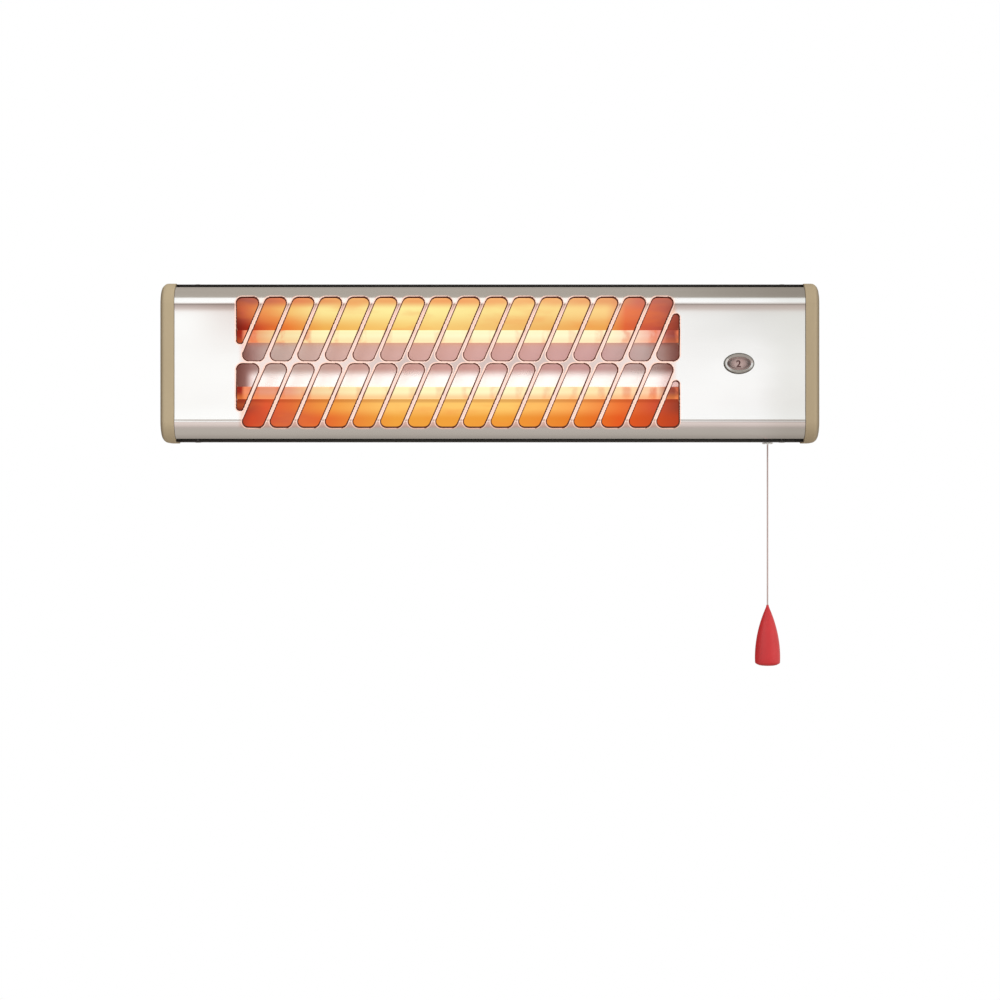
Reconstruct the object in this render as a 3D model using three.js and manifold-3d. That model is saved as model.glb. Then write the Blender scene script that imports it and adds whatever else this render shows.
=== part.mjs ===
// Bathroom wall heater with two quartz tubes behind a slotted steel front, a tilting wall bracket
// and a pull-cord switch whose numbered disc shows through an oval window. Millimetres, +Z up.
// The origin is the centre of the bracket's back face, on the wall. +X is to the viewer's right
// and +Y goes into the wall. Inside the heater group, y is the depth behind the front face.

import * as THREE from "three";
import { mergeVertices } from "three/addons/utils/BufferGeometryUtils.js";
import Module from "manifold-3d";

const wasm = await Module();
wasm.setup();

// ---------------------------------------------------------------- driving dimensions

const FIT = 0.3; // gap between pieces that touch
const LENGTH = 520; // over the end caps
const FRONT_TO_WALL = 92;

// Front panel and rear housing, as sections of bent sheet
const FACE_HALF = 46; // half height of the flat face
const FACE_RADIUS = 14.8;
const PANEL_SHEET = 0.8;
const PANEL_FLANGE = 11; // straight flange behind each bend
const HOUSING_SHEET = 1.2;
const HOUSING_RIM = 13; // depth at which the housing's front rim starts
const HOUSING_TOP = 27; // depth of the flat top, from the rim to the taper
const HOUSING_TAPER = 22; // the taper falls this far while it runs this far back
const HOUSING_RADIUS = 9;
const VENT_COUNT = 9; // along the top, and again along the underside
const VENT_PITCH = 44;
const VENT_SIZE = [32, 3.6];
const VENT_DEPTH = 31;

// Grille: two rows of slanted slots, clipped upright at both ends
const SLOT_PITCH = 21.75;
const SLOT_COUNT = 17; // in each row
const SLAT_WIDTH = 4.1; // between slots, measured along the heater
const SLOT_HEIGHT = 49.8;
const SLOT_SLANT = 0.427; // sideways run for each millimetre of height
const SLOT_CORNER = 3.7;
const SLOT_TIP = 2.3; // radius in the sharp corner of a clipped slot
const ROW_GAP = 2.9;
const GRILLE_LEFT = -199.3;
const SLOT_RIM = 0.9; // width of the turned-in rim round a slot
const SLOT_RIM_DEPTH = 2.2; // from the front face to the rim's back edge

// End caps
const CAP_WIDTH = 11.3;
const CAP_PROUD = 0.9; // how far a cap stands out from the sheet metal
const CAP_WALL = 2.4;
const CAP_ROUND = [7.5, 8.5]; // rounding of the outer edge, along the heater and inwards
const SPIGOT_LENGTH = 6;
const SPIGOT_WALL = 1.6;
const CAP_BOSS_RADIUS = 6;
const CAP_SCREW_Z = 24;
const CAP_SCREW_DEPTH = 48;
const CAP_SCREW_REACH = 6; // beyond the tab
const CAP_SCREW_SUNK = 1; // head below the cap's side
const TAB_SIZE = [1.2, 19, 16]; // thickness, depth and height
const TAB_SETBACK = 9.2; // from a cap's shoulder to its screw tabs

// Quartz tubes and reflector
const TUBE_Z = 22.6;
const TUBE_DEPTH = 36;
const TUBE_RADIUS = 5;
const TUBE_BORE = 3.8;
const COIL_RADIUS = 3; // to the middle of the wire
const COIL_WIRE = 0.45;
const COIL_TURNS = 22;
const COIL_MARGIN = 7.6; // from each tube plate to the coil
const FOCUS = 12; // focal length of each wing's parabola
const REFLECTOR_SHEET = 0.8;
const REFLECTOR_HALF = 52.4; // half of the clear height inside
const REFLECTOR_FRONT = 5.5; // depth of the reflector's front edges
const PLATE_SHEET = 1;
const PLATE_LEFT = -206; // inner faces of the two tube plates
const PLATE_RIGHT = 154;
const PLATE_FOOT = [9, 72]; // width and height of the flange on the housing's back
const CERAMIC_NECK = 7.2;
const CERAMIC_FLANGE = [9, 2.7]; // radius and thickness
const CERAMIC_LENGTH = 12; // from the plate's inner face outwards
const CERAMIC_NOSE = 3; // inside the tube plate
const CERAMIC_FLOOR = 4; // end wall that the pin goes through
const PIN_RADIUS = 1.5;
const PIN_HEAD = 2; // thickness of the disc that the coil ends on
const PIN_OUT = 8; // what stands out of the ceramic
const WIRE_RADIUS = 1.2;
const WIRE_DEPTH = 54; // of the long wire behind the reflector

// Pull switch: wheel, numbered disc, body and window
const CORD_X = 222;
const CORD_DEPTH = 31;
const CORD_RADIUS = 0.6;
const WHEEL_RADIUS = 11; // to the middle of the cord in the groove
const WHEEL_WIDTH = 6;
const WHEEL_FLANGE = 2.4; // what the flanges stand over the cord's middle
const WHEEL_HUB = [4.5, 12]; // radius, and length in front of the groove
const SWITCH_Z = -1;
const WINDOW_OUT = 14.8; // from the spindle to the middle of the window
const WINDOW_SIZE = [18.1, 9.8];
const BEZEL_SIZE = [24, 16.5];
const BEZEL_SKIRT = 1.6; // wall of the skirt that goes through the panel
const BEZEL_PROUD = 1.8;
const DISC_RADIUS = 23;
const DISC_DEPTH = 4;
const DISC_SHEET = 1.2;
const DISC_HUB = 4.8; // from the disc's face to the back of its hub
const SPINDLE_RADIUS = 2.5;
const SPINDLE_HEAD = [4, 1.9]; // radius and thickness
const SPINDLE_ENTRY = 10; // how far it goes into the switch body
const SPRING_TURNS = 4;
const SPRING_WIRE = 0.5;
const SWITCH_SIZE = [32, 18, 34];
const SWITCH_DEPTH = 37; // of the switch body's front face
const BLADE_SIZE = [5, 0.8, 5];
const BLADE_OFFSET = 8; // to each side of the spindle
const STAND_SHEET = 1.2; // of the strip that carries the switch
const STAND_INSET = 3; // from the switch's sides
const STAND_FOOT = 8;

// Pull cord below the heater: depth and x stay the same, and these are its heights
const CORD_ROUTE = [
  -64.1, -74, -86, -98, -110, -122, -134, -146, -158, -170, -182, -192, -202, -212, -222, -232.1,
];
const GUIDE_RADII = [1.1, 3, 4.2]; // bore, neck and flanges of the cord's guide
const GUIDE_FLANGE = 1.2;
const KNOB_TOP = -191.4;
const KNOB_HEIGHT = 49.6;
const KNOB_RADIUS = 10.2;
const KNOB_TIP = 1.5; // radius at the top
const KNOB_BORE = 0.9;
const KNOB_RECESS = [3.5, 9]; // radius and depth, from below
const KNOT_RADIUS = 2.2;

// Wall bracket and tilt
const BRACKET_SHEET = 1.5;
const BRACKET_BEND = 3; // outer radius where the sheet is folded
const BRACKET_WIDTH = 303;
const PIVOT_OUT = 15; // from the wall to the pivot
const EAR_RADIUS = 13.5;
const LUG_RADIUS = 12.5;
const LUG_FOOT = 17;
const PIVOT_RADIUS = 2.5;
const RIVET_HEAD = [4.5, 1.5]; // radius and thickness
const LOCK_RADIUS = 2; // of the locking screw
const LOCK_ARC = 8.5; // from the pivot to the locking screw
const LOCK_COLLAR = [3.6, 2.5]; // radius and thickness
const LOCK_KNOB = [7, 9]; // radius and thickness
const LOCK_NUT = [3.7, 4]; // radius and thickness of the welded nut
const TILT = 30; // degrees, front downwards
const KEYHOLE_X = 100;
const KEYHOLE_HEAD = 4.5;
const KEYHOLE_NECK = 2.6;
const KEYHOLE_LIFT = 8; // from the middle of the head to the end of the neck

// Mains inlet, clamp and terminal block
const INLET_Z = -27;
const INLET_RADII = [3.7, 5.6, 7.5]; // bore, neck and flanges
const INLET_FLANGE = 1.7;
const BLOCK_SIZE = [22, 13, 18];
const BLOCK_Z = 4;
const BLOCK_GAP = 2; // from the block to the arm of the switch's stand
const BLOCK_POLES = 3;
const CLAMP_Z = -14;
const CLAMP_WIDTH = 8;
const CLAMP_CLEAR = [10, 9.5]; // inside width and height of the clamp's arch
const CLAMP_FOOT = 5.5;
const CLAMP_SHEET = 1.2;
const STUD_SIZE = [2, 9]; // radius and length
const STUD_COLLAR = [4, 1.2]; // radius and thickness
const EARTH_X = 212;
const EARTH_Z = -30;

// Screws, as [head radius, head thickness, shank radius]
const CAP_SCREW = [3.6, 2.2, 1.8];
const PANEL_SCREW = [2.8, 1.4, 1.4];
const CLAMP_SCREW = [2.6, 2, 1.4];
const PANEL_SCREW_X = 232;
const PANEL_SCREW_DEPTH = 19.5;

// ---------------------------------------------------------------- values worked out from those

const HALF_LENGTH = LENGTH / 2;
const SHOULDER = HALF_LENGTH - CAP_WIDTH; // where a cap meets the sheet metal
const SHEET_END = SHOULDER - FIT;
const PANEL_HALF = FACE_HALF + FACE_RADIUS;
const HOUSING_HALF = PANEL_HALF + FIT + HOUSING_SHEET;
const TAPER_START = HOUSING_RIM + HOUSING_TOP;
const BACK = TAPER_START + HOUSING_TAPER; // depth of the housing's back face
const SEAT = BACK - HOUSING_SHEET - FIT; // depth of pieces that sit against the back inside
const INSIDE_HALF = PANEL_HALF - PANEL_SHEET - FIT; // half height of what fits inside the panel
const REFLECTOR_BACK = TUBE_DEPTH + FOCUS;
const WHEEL_X = CORD_X - WHEEL_RADIUS;
const WINDOW_X = WHEEL_X - WINDOW_OUT;
const WHEEL_FRONT = CORD_DEPTH - WHEEL_WIDTH / 2;
const WHEEL_BACK = CORD_DEPTH + WHEEL_WIDTH / 2;
const HUB_FRONT = WHEEL_FRONT - WHEEL_HUB[1];
const SWITCH_AT = [WHEEL_X, 0, SWITCH_Z];
const SWITCH_BACK = SWITCH_DEPTH + SWITCH_SIZE[1];
const SPINDLE_END = SWITCH_DEPTH + SPINDLE_ENTRY;
const BLADE_DEPTH = SWITCH_DEPTH + SWITCH_SIZE[1] / 2;
const STAND_ARM_X = WHEEL_X - SWITCH_SIZE[0] / 2 + STAND_INSET - STAND_FOOT;
const BLOCK_X = STAND_ARM_X - BLOCK_GAP - BLOCK_SIZE[0] / 2;
const CLAMP_REACH = CLAMP_CLEAR[0] / 2 + CLAMP_SHEET + CLAMP_FOOT; // to the end of a foot
const INLET_X = STAND_ARM_X - FIT - CLAMP_REACH;
const TAB_X = SHOULDER - TAB_SETBACK; // outer face of the screw tabs
const PIVOT_DEPTH = FRONT_TO_WALL - PIVOT_OUT;
const EAR_OUTSIDE = BRACKET_WIDTH / 2;
const EAR_INSIDE = EAR_OUTSIDE - BRACKET_SHEET;
const LUG_OUTSIDE = EAR_INSIDE - FIT;
const LUG_INSIDE = LUG_OUTSIDE - BRACKET_SHEET;
const LOCK_ANGLE = ((90 - TILT / 2) * Math.PI) / 180; // of the locking screw at rest, from +Y to +Z
const LOCK_SWEEP = (TILT * Math.PI) / 180;
const LOCK_DEPTH = PIVOT_DEPTH + LOCK_ARC * Math.cos(LOCK_ANGLE);
const LOCK_Z = LOCK_ARC * Math.sin(LOCK_ANGLE);
const SIDES = { left: -1, right: 1 };
const LEVELS = { lower: -1, upper: 1 };
const PLATES = { left: PLATE_LEFT, right: PLATE_RIGHT };

// ---------------------------------------------------------------- outlines

const X = new THREE.Vector3(1, 0, 0);
const Y = new THREE.Vector3(0, 1, 0);
const Z = new THREE.Vector3(0, 0, 1);
const outwards = (side) => X.clone().multiplyScalar(side);
const rising = (a, b) => (a < b ? [a, b] : [b, a]);

// A run of corners [u, v, radius] moved sideways by a distance, to the left of its direction.
function offset(corners, distance, closed = false) {
  const last = corners.length - 1;
  const direction = (from, to) =>
    new THREE.Vector2(to[0] - from[0], to[1] - from[1]).normalize();
  return corners.map(([u, v, radius = 0], i) => {
    const before = i > 0 || closed ? direction(corners.at(i - 1), corners[i]) : null;
    const after = i < last || closed ? direction(corners[i], corners[(i + 1) % (last + 1)]) : null;
    const normals = [before, after].filter(Boolean).map((d) => new THREE.Vector2(-d.y, d.x));
    const mitre = normals.reduce((sum, normal) => sum.clone().add(normal)).normalize();
    const reach = distance / mitre.dot(normals[0]);
    const turn = before && after ? Math.sign(before.cross(after)) : 0;
    const newRadius = radius ? Math.max(radius - turn * distance, 0) : 0;
    return [u + mitre.x * reach, v + mitre.y * reach, newRadius];
  });
}

// A closed outline through corners [u, v, radius], each rounded by an arc of its radius.
function outline(corners) {
  const shape = new THREE.Shape();
  corners.forEach(([u, v, radius = 0], i) => {
    if (radius < 1e-6) {
      if (i === 0) shape.moveTo(u, v);
      else shape.lineTo(u, v);
      return;
    }
    const here = new THREE.Vector2(u, v);
    const before = corners.at(i - 1);
    const after = corners[(i + 1) % corners.length];
    const back = new THREE.Vector2(before[0] - u, before[1] - v).normalize();
    const on = new THREE.Vector2(after[0] - u, after[1] - v).normalize();
    const half = Math.acos(back.dot(on)) / 2;
    const middle = back.clone().add(on).normalize().multiplyScalar(radius / Math.sin(half));
    const centre = here.clone().add(middle);
    const start = here.clone().addScaledVector(back, radius / Math.tan(half)).sub(centre);
    const end = here.clone().addScaledVector(on, radius / Math.tan(half)).sub(centre);
    const clockwise = back.cross(on) > 0;
    shape.absarc(centre.x, centre.y, radius, start.angle(), end.angle(), clockwise);
  });
  return shape;
}

// The section of a sheet of even thickness whose right-hand face follows the run of corners.
function sheetSection(corners, thickness) {
  return outline([...corners, ...offset(corners, thickness).reverse()]);
}

// A run of corners followed by its mirror image, top to bottom.
function mirrored(corners) {
  return [...corners, ...corners.map(([u, v, r = 0]) => [u, -v, r]).reverse()];
}

// A slot with round ends, from one end's centre to the other's.
function obround([u0, v0], [u1, v1], radius) {
  const along = Math.atan2(v1 - v0, u1 - u0);
  const shape = new THREE.Shape();
  shape.absarc(u0, v0, radius, along + Math.PI / 2, along + 1.5 * Math.PI);
  shape.absarc(u1, v1, radius, along - Math.PI / 2, along + Math.PI / 2);
  return shape;
}

// A slot of even width that follows an arc about (u, v).
function arcSlot([u, v], arc, from, to, half) {
  const end = (angle) => [u + arc * Math.cos(angle), v + arc * Math.sin(angle)];
  const shape = new THREE.Shape();
  shape.absarc(u, v, arc + half, from, to);
  shape.absarc(...end(to), half, to, to + Math.PI);
  shape.absarc(u, v, arc - half, to, from, true);
  shape.absarc(...end(from), half, from + Math.PI, from + 2 * Math.PI);
  return shape;
}

// A strip that starts square at u = base and ends round, about (centre, 0).
function roundEnd(base, centre, radius) {
  const side = Math.sign(centre - base);
  const start = (-side * Math.PI) / 2;
  const shape = new THREE.Shape();
  shape.moveTo(base, side * radius);
  shape.lineTo(base, -side * radius);
  shape.absarc(centre, 0, radius, start, start + Math.PI);
  return shape;
}

function rectangle([u0, v0], [u1, v1], radius) {
  return outline([[u0, v0, radius], [u1, v0, radius], [u1, v1, radius], [u0, v1, radius]]);
}

function ellipse([width, height], x, z) {
  return new THREE.Shape().absellipse(x, z, width / 2, height / 2, 0, 2 * Math.PI);
}

function grown([width, height], by) {
  return [width + 2 * by, height + 2 * by];
}

// ---------------------------------------------------------------- solids

// The closed solid of a three.js geometry, for joining and cutting.
function toSolid(geometry) {
  const bare = geometry.index ? geometry.toNonIndexed() : geometry.clone();
  for (const name of Object.keys(bare.attributes)) {
    if (name !== "position") bare.deleteAttribute(name);
  }
  const merged = mergeVertices(bare, 1e-4);
  const corners = merged.index.array;
  const triangles = [];
  for (let i = 0; i < corners.length; i += 3) {
    const [a, b, c] = corners.slice(i, i + 3);
    if (a !== b && b !== c && c !== a) triangles.push(a, b, c);
  }
  return new wasm.Manifold(
    new wasm.Mesh({
      numProp: 3,
      vertProperties: new Float32Array(merged.attributes.position.array),
      triVerts: new Uint32Array(triangles),
    }),
  );
}

// The three.js geometry of a solid.
function toGeometry(solid) {
  const { vertProperties, triVerts } = solid.getMesh();
  const geometry = new THREE.BufferGeometry();
  geometry.setAttribute("position", new THREE.BufferAttribute(new Float32Array(vertProperties), 3));
  geometry.setIndex(new THREE.BufferAttribute(new Uint32Array(triVerts), 1));
  geometry.computeVertexNormals();
  return geometry;
}

// A shape as straight pieces, without the doubled points where one arc meets the next.
function straightened(shape, segments) {
  const points = shape.getPoints(segments);
  return new THREE.Shape(points.filter((point, i) => point.distanceTo(points.at(i - 1)) > 1e-4));
}

function extrude(shape, depth, segments, options = {}) {
  const shapes = [shape].flat().map((each) => straightened(each, segments));
  return new THREE.ExtrudeGeometry(shapes, { depth, bevelEnabled: false, ...options });
}

// Options for an extrusion whose ends are rounded: so far along it, and so far inwards.
function rounded(along, inwards, segments) {
  return {
    bevelEnabled: true,
    bevelThickness: along,
    bevelSize: inwards,
    bevelOffset: -inwards,
    bevelSegments: segments,
  };
}

// A section in depth and height, run along the heater.
function alongX(shape, from, to, segments = 4, options = {}) {
  const geometry = extrude(shape, to - from, segments, options);
  geometry.applyMatrix4(new THREE.Matrix4().makeBasis(Y, Z, X)).translate(from, 0, 0);
  return toSolid(geometry);
}

// A shape seen from the front, run backwards from one depth to another.
function alongY(shape, from, to, segments = 4, options = {}) {
  const geometry = extrude(shape, to - from, segments, options);
  geometry.applyMatrix4(new THREE.Matrix4().makeBasis(X, Z, Y.clone().negate()));
  return toSolid(geometry.translate(0, to, 0));
}

// A shape seen from above, run upwards.
function alongZ(shape, from, to, segments = 4) {
  return toSolid(extrude(shape, to - from, segments).translate(0, 0, from));
}

function box(x, y, z) {
  const geometry = new THREE.BoxGeometry(x[1] - x[0], y[1] - y[0], z[1] - z[0]);
  geometry.translate((x[0] + x[1]) / 2, (y[0] + y[1]) / 2, (z[0] + z[1]) / 2);
  return toSolid(geometry);
}

// A turned piece: [radius, distance along the axis] from its first end to its last.
function turned(profile, axis, at, segments = 16) {
  const points = profile.map(([radius, along]) => new THREE.Vector2(radius, along));
  const geometry = new THREE.LatheGeometry(points, segments);
  const turn = new THREE.Quaternion().setFromUnitVectors(Y, axis);
  geometry.applyQuaternion(turn).translate(...at);
  return toSolid(geometry);
}

function rod(radius, from, to, axis, at, segments = 16) {
  return turned([[0, from], [radius, from], [radius, to], [0, to]], axis, at, segments);
}

// The radius of a faceted hole that clears a round piece all round.
function clear(radius, segments) {
  return (radius + FIT) / Math.cos(Math.PI / segments);
}

// What is cut away to let a round piece of that radius through.
function hole(radius, from, to, axis, at, segments = 16) {
  return rod(clear(radius, segments), from, to, axis, at, segments);
}

// A turned piece with a bore right through it, whose outside is the profile.
function bored(profile, bore, axis, at, segments = 16) {
  const first = profile[0][1];
  const last = profile.at(-1)[1];
  return turned([[bore, first], ...profile, [bore, last], [bore, first]], axis, at, segments);
}

// A flanged bush in a sheet: flanges on both faces, a neck through the hole and a bore.
function bush([bore, neck, flange], thickness, sheet, axis, at) {
  const EDGE = 0.4;
  const near = sheet / 2 + FIT;
  const far = near + thickness;
  const outside = [
    [flange - EDGE, -far],
    [flange, EDGE - far],
    [flange, -near],
    [neck, -near],
    [neck, near],
    [flange, near],
    [flange, far - EDGE],
    [flange - EDGE, far],
  ];
  return bored(outside, bore, axis, at, 8);
}

// A screw along an axis that starts at the underside of its head.
function screw([head, thickness, shank], length, axis, at) {
  const profile = [
    [0, -thickness],
    [head * 0.7, -thickness],
    [head, -thickness / 2],
    [head, 0],
    [shank, 0],
    [shank, length - shank],
    [0, length],
  ];
  return turned(profile, axis, at, 6);
}

// A round wire or cord along a curve.
function wire(curve, radius, steps, sides = 6) {
  const section = new THREE.Shape();
  for (let i = 0; i < sides; i++) {
    const angle = (2 * Math.PI * i) / sides;
    const corner = [radius * Math.cos(angle), radius * Math.sin(angle)];
    if (i === 0) section.moveTo(...corner);
    else section.lineTo(...corner);
  }
  curve.arcLengthDivisions = steps * 6;
  return toSolid(new THREE.ExtrudeGeometry(section, { steps, extrudePath: curve }));
}

function smoothCurve(points) {
  const places = points.map((point) => new THREE.Vector3(...point));
  return new THREE.CatmullRomCurve3(places, false, "centripetal");
}

// A helix about an axis along +X or +Y, counted from the side that the axis turns Z away from.
class Helix extends THREE.Curve {
  constructor(axis, at, radius, reach, turns, start = 0) {
    super();
    Object.assign(this, { axis, at, radius, reach, turns, start });
    this.side = new THREE.Vector3().crossVectors(axis, Z);
  }

  getPoint(t, target = new THREE.Vector3()) {
    const angle = this.start + 2 * Math.PI * this.turns * t;
    return target
      .set(...this.at)
      .addScaledVector(this.axis, this.reach * t)
      .addScaledVector(this.side, this.radius * Math.cos(angle))
      .addScaledVector(Z, this.radius * Math.sin(angle));
  }
}

// ---------------------------------------------------------------- materials

const finish = (color, roughness, metalness, extra = {}) => () =>
  new THREE.MeshStandardMaterial({ color, roughness, metalness, ...extra });
const brightSteel = finish(0xd9d7d2, 0.28, 1);
const blackPaint = finish(0x26241f, 0.55, 0.2);
const beigePlastic = finish(0xb8a684, 0.5, 0);
const polishedAluminium = finish(0xcfc4bd, 0.2, 1);
const zincSteel = finish(0xb4b5b3, 0.4, 1);
const springSteel = finish(0x8f9092, 0.35, 1);
const quartzGlass = finish(0xffd9a0, 0.15, 0, { transparent: true, opacity: 0.6 });
const glowingWire = finish(0xff8a30, 0.6, 0, { emissive: 0xff7a20 });
const whiteCeramic = finish(0xe9e5da, 0.6, 0);
const chrome = finish(0xc9c9c8, 0.12, 1);
const smokedLens = finish(0x77706c, 0.1, 0, { transparent: true, opacity: 0.5 });
const whitePlastic = finish(0xd8d4cc, 0.5, 0);
const blackPlastic = finish(0x1d1c1b, 0.5, 0);
const redPlastic = finish(0xcf2f38, 0.4, 0);
const nylonCord = finish(0xbdb0a8, 0.6, 0);
const rubber = finish(0x202020, 0.8, 0);
const siliconeSleeve = finish(0xa03a2c, 0.6, 0);

// ---------------------------------------------------------------- scene

const root = new THREE.Group();
const heater = new THREE.Group();
heater.position.y = -FRONT_TO_WALL;
root.add(heater);

function add(parent, name, solid, material) {
  const mesh = new THREE.Mesh(toGeometry(solid), material());
  mesh.name = name;
  parent.add(mesh);
  return mesh;
}

// ---------------------------------------------------------------- front panel and its grille

// One slot of the grille seen from the front, grown outwards by a margin. The first slot of a
// row is clipped upright on its left and the last one on its right, at the slot's own middle.
function slotShape(index, row, margin) {
  const half = (SLOT_PITCH - SLAT_WIDTH) / 2;
  const middle = GRILLE_LEFT + index * SLOT_PITCH;
  const up = SLOT_HEIGHT / 2;
  const edge = (side, z) => middle + side * half + SLOT_SLANT * z;
  const tip = half / SLOT_SLANT;
  let corners = [
    [edge(-1, -up), -up, SLOT_CORNER],
    [edge(1, -up), -up, SLOT_CORNER],
    [edge(1, up), up, SLOT_CORNER],
    [edge(-1, up), up, SLOT_CORNER],
  ];
  if (index === 0) corners = [[middle, -tip, SLOT_TIP], corners[2], [middle, up, SLOT_CORNER]];
  if (index === SLOT_COUNT - 1) {
    corners = [corners[0], [middle, -up, SLOT_CORNER], [middle, tip, SLOT_TIP]];
  }
  const rowZ = (row * (ROW_GAP + SLOT_HEIGHT)) / 2;
  const placed = corners.map(([x, z, radius]) => [x, z + rowZ, radius]);
  return outline(offset(placed, -margin, true));
}

function slotShapes(margin) {
  const shapes = [];
  for (const row of Object.values(LEVELS)) {
    for (let index = 0; index < SLOT_COUNT; index++) shapes.push(slotShape(index, row, margin));
  }
  return shapes;
}

// Bent sheet with a rim turned in round every slot, as a press would draw it.
function frontPanel() {
  const run = mirrored([
    [FACE_RADIUS + PANEL_FLANGE, PANEL_HALF],
    [0, PANEL_HALF, FACE_RADIUS],
  ]);
  const sheet = alongX(sheetSection(run, PANEL_SHEET), -SHEET_END, SHEET_END, 3);
  const envelope = alongX(outline(run), -SHEET_END, SHEET_END, 3);
  const rims = alongY(slotShapes(SLOT_RIM), 0, SLOT_RIM_DEPTH, 1).intersect(envelope);
  const slots = alongY(slotShapes(0), -1, SLOT_RIM_DEPTH + 1, 1);
  const windowHole = ellipse(grown(WINDOW_SIZE, BEZEL_SKIRT + FIT), WINDOW_X, SWITCH_Z);
  const pierced = sheet.add(rims).subtract(slots).subtract(alongY(windowHole, -1, 2, 8));
  return cutPanelScrewHoles(pierced);
}

// The screws that join the panel's flanges to the housing, above and below.
function panelScrews() {
  const screws = {};
  for (const [level, up] of Object.entries(LEVELS)) {
    for (const [side, out] of Object.entries(SIDES)) {
      const at = [out * PANEL_SCREW_X, PANEL_SCREW_DEPTH, up * (HOUSING_HALF + FIT)];
      screws[`${level}_${side}`] = { at, inwards: Z.clone().multiplyScalar(-up) };
    }
  }
  return screws;
}

const PANEL_SCREW_LENGTH = HOUSING_HALF - PANEL_HALF + PANEL_SHEET + FIT + 2.5;

function cutPanelScrewHoles(solid) {
  for (const { at, inwards } of Object.values(panelScrews())) {
    solid = solid.subtract(hole(PANEL_SCREW[2], -1, PANEL_SCREW_LENGTH, inwards, at, 8));
  }
  return solid;
}

add(heater, "front_panel", frontPanel(), brightSteel);

// ---------------------------------------------------------------- rear housing

// Outline of the whole heater seen from its end, moved outwards by a distance.
function endOutline(out) {
  const frontRadius = FACE_RADIUS + HOUSING_HALF - PANEL_HALF;
  const backHalf = HOUSING_HALF - HOUSING_TAPER;
  const corners = [
    [0, HOUSING_HALF, frontRadius],
    [0, -HOUSING_HALF, frontRadius],
    [TAPER_START, -HOUSING_HALF, HOUSING_RADIUS],
    [BACK, -backHalf, HOUSING_RADIUS],
    [BACK, backHalf, HOUSING_RADIUS],
    [TAPER_START, HOUSING_HALF, HOUSING_RADIUS],
  ];
  return outline(offset(corners, -out, true));
}

// Vent slots in the top and the underside, cut by one run of slots.
function ventCutter() {
  const reach = (VENT_SIZE[0] - VENT_SIZE[1]) / 2;
  const vents = [];
  for (let i = 0; i < VENT_COUNT; i++) {
    const middle = (i - (VENT_COUNT - 1) / 2) * VENT_PITCH;
    const ends = [[middle - reach, VENT_DEPTH], [middle + reach, VENT_DEPTH]];
    vents.push(obround(...ends, VENT_SIZE[1] / 2));
  }
  return alongZ(vents, -HOUSING_HALF - 1, HOUSING_HALF + 1, 1);
}

// Bent sheet, with a tab folded in at each end for every cap screw.
function rearHousing() {
  const run = mirrored([
    [HOUSING_RIM, -HOUSING_HALF],
    [TAPER_START, -HOUSING_HALF, HOUSING_RADIUS],
    [BACK, HOUSING_TAPER - HOUSING_HALF, HOUSING_RADIUS],
  ]);
  let solid = alongX(sheetSection(run, HOUSING_SHEET), -SHEET_END, SHEET_END, 2);
  const tabBack = BACK - HOUSING_SHEET / 2;
  for (const out of Object.values(SIDES)) {
    for (const up of Object.values(LEVELS)) {
      const x = rising(out * TAB_X, out * (TAB_X - TAB_SIZE[0]));
      const z = [up * CAP_SCREW_Z - TAB_SIZE[2] / 2, up * CAP_SCREW_Z + TAB_SIZE[2] / 2];
      const at = [0, CAP_SCREW_DEPTH, up * CAP_SCREW_Z];
      solid = solid
        .add(box(x, [tabBack - TAB_SIZE[1], tabBack], z))
        .subtract(hole(CAP_SCREW[2], TAB_X - 3, TAB_X + 1, outwards(out), at, 10));
    }
  }
  const inlet = hole(INLET_RADII[1], BACK - 4, BACK + 1, Y, [INLET_X, 0, INLET_Z]);
  const guideHole = hole(GUIDE_RADII[1], -4, 4, Z, [CORD_X, CORD_DEPTH, -HOUSING_HALF]);
  solid = solid.subtract(ventCutter()).subtract(inlet).subtract(guideHole);
  for (const at of clampScrewPlaces()) {
    solid = solid.subtract(hole(CLAMP_SCREW[2], BACK - 4, BACK + 1, Y, at, 8));
  }
  return cutPanelScrewHoles(solid);
}

add(heater, "rear_housing", rearHousing(), blackPaint);
for (const [name, { at, inwards }] of Object.entries(panelScrews())) {
  const panelScrew = screw(PANEL_SCREW, PANEL_SCREW_LENGTH, inwards, at);
  add(heater, `panel_screw_${name}`, panelScrew, zincSteel);
}

// ---------------------------------------------------------------- end caps

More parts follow.
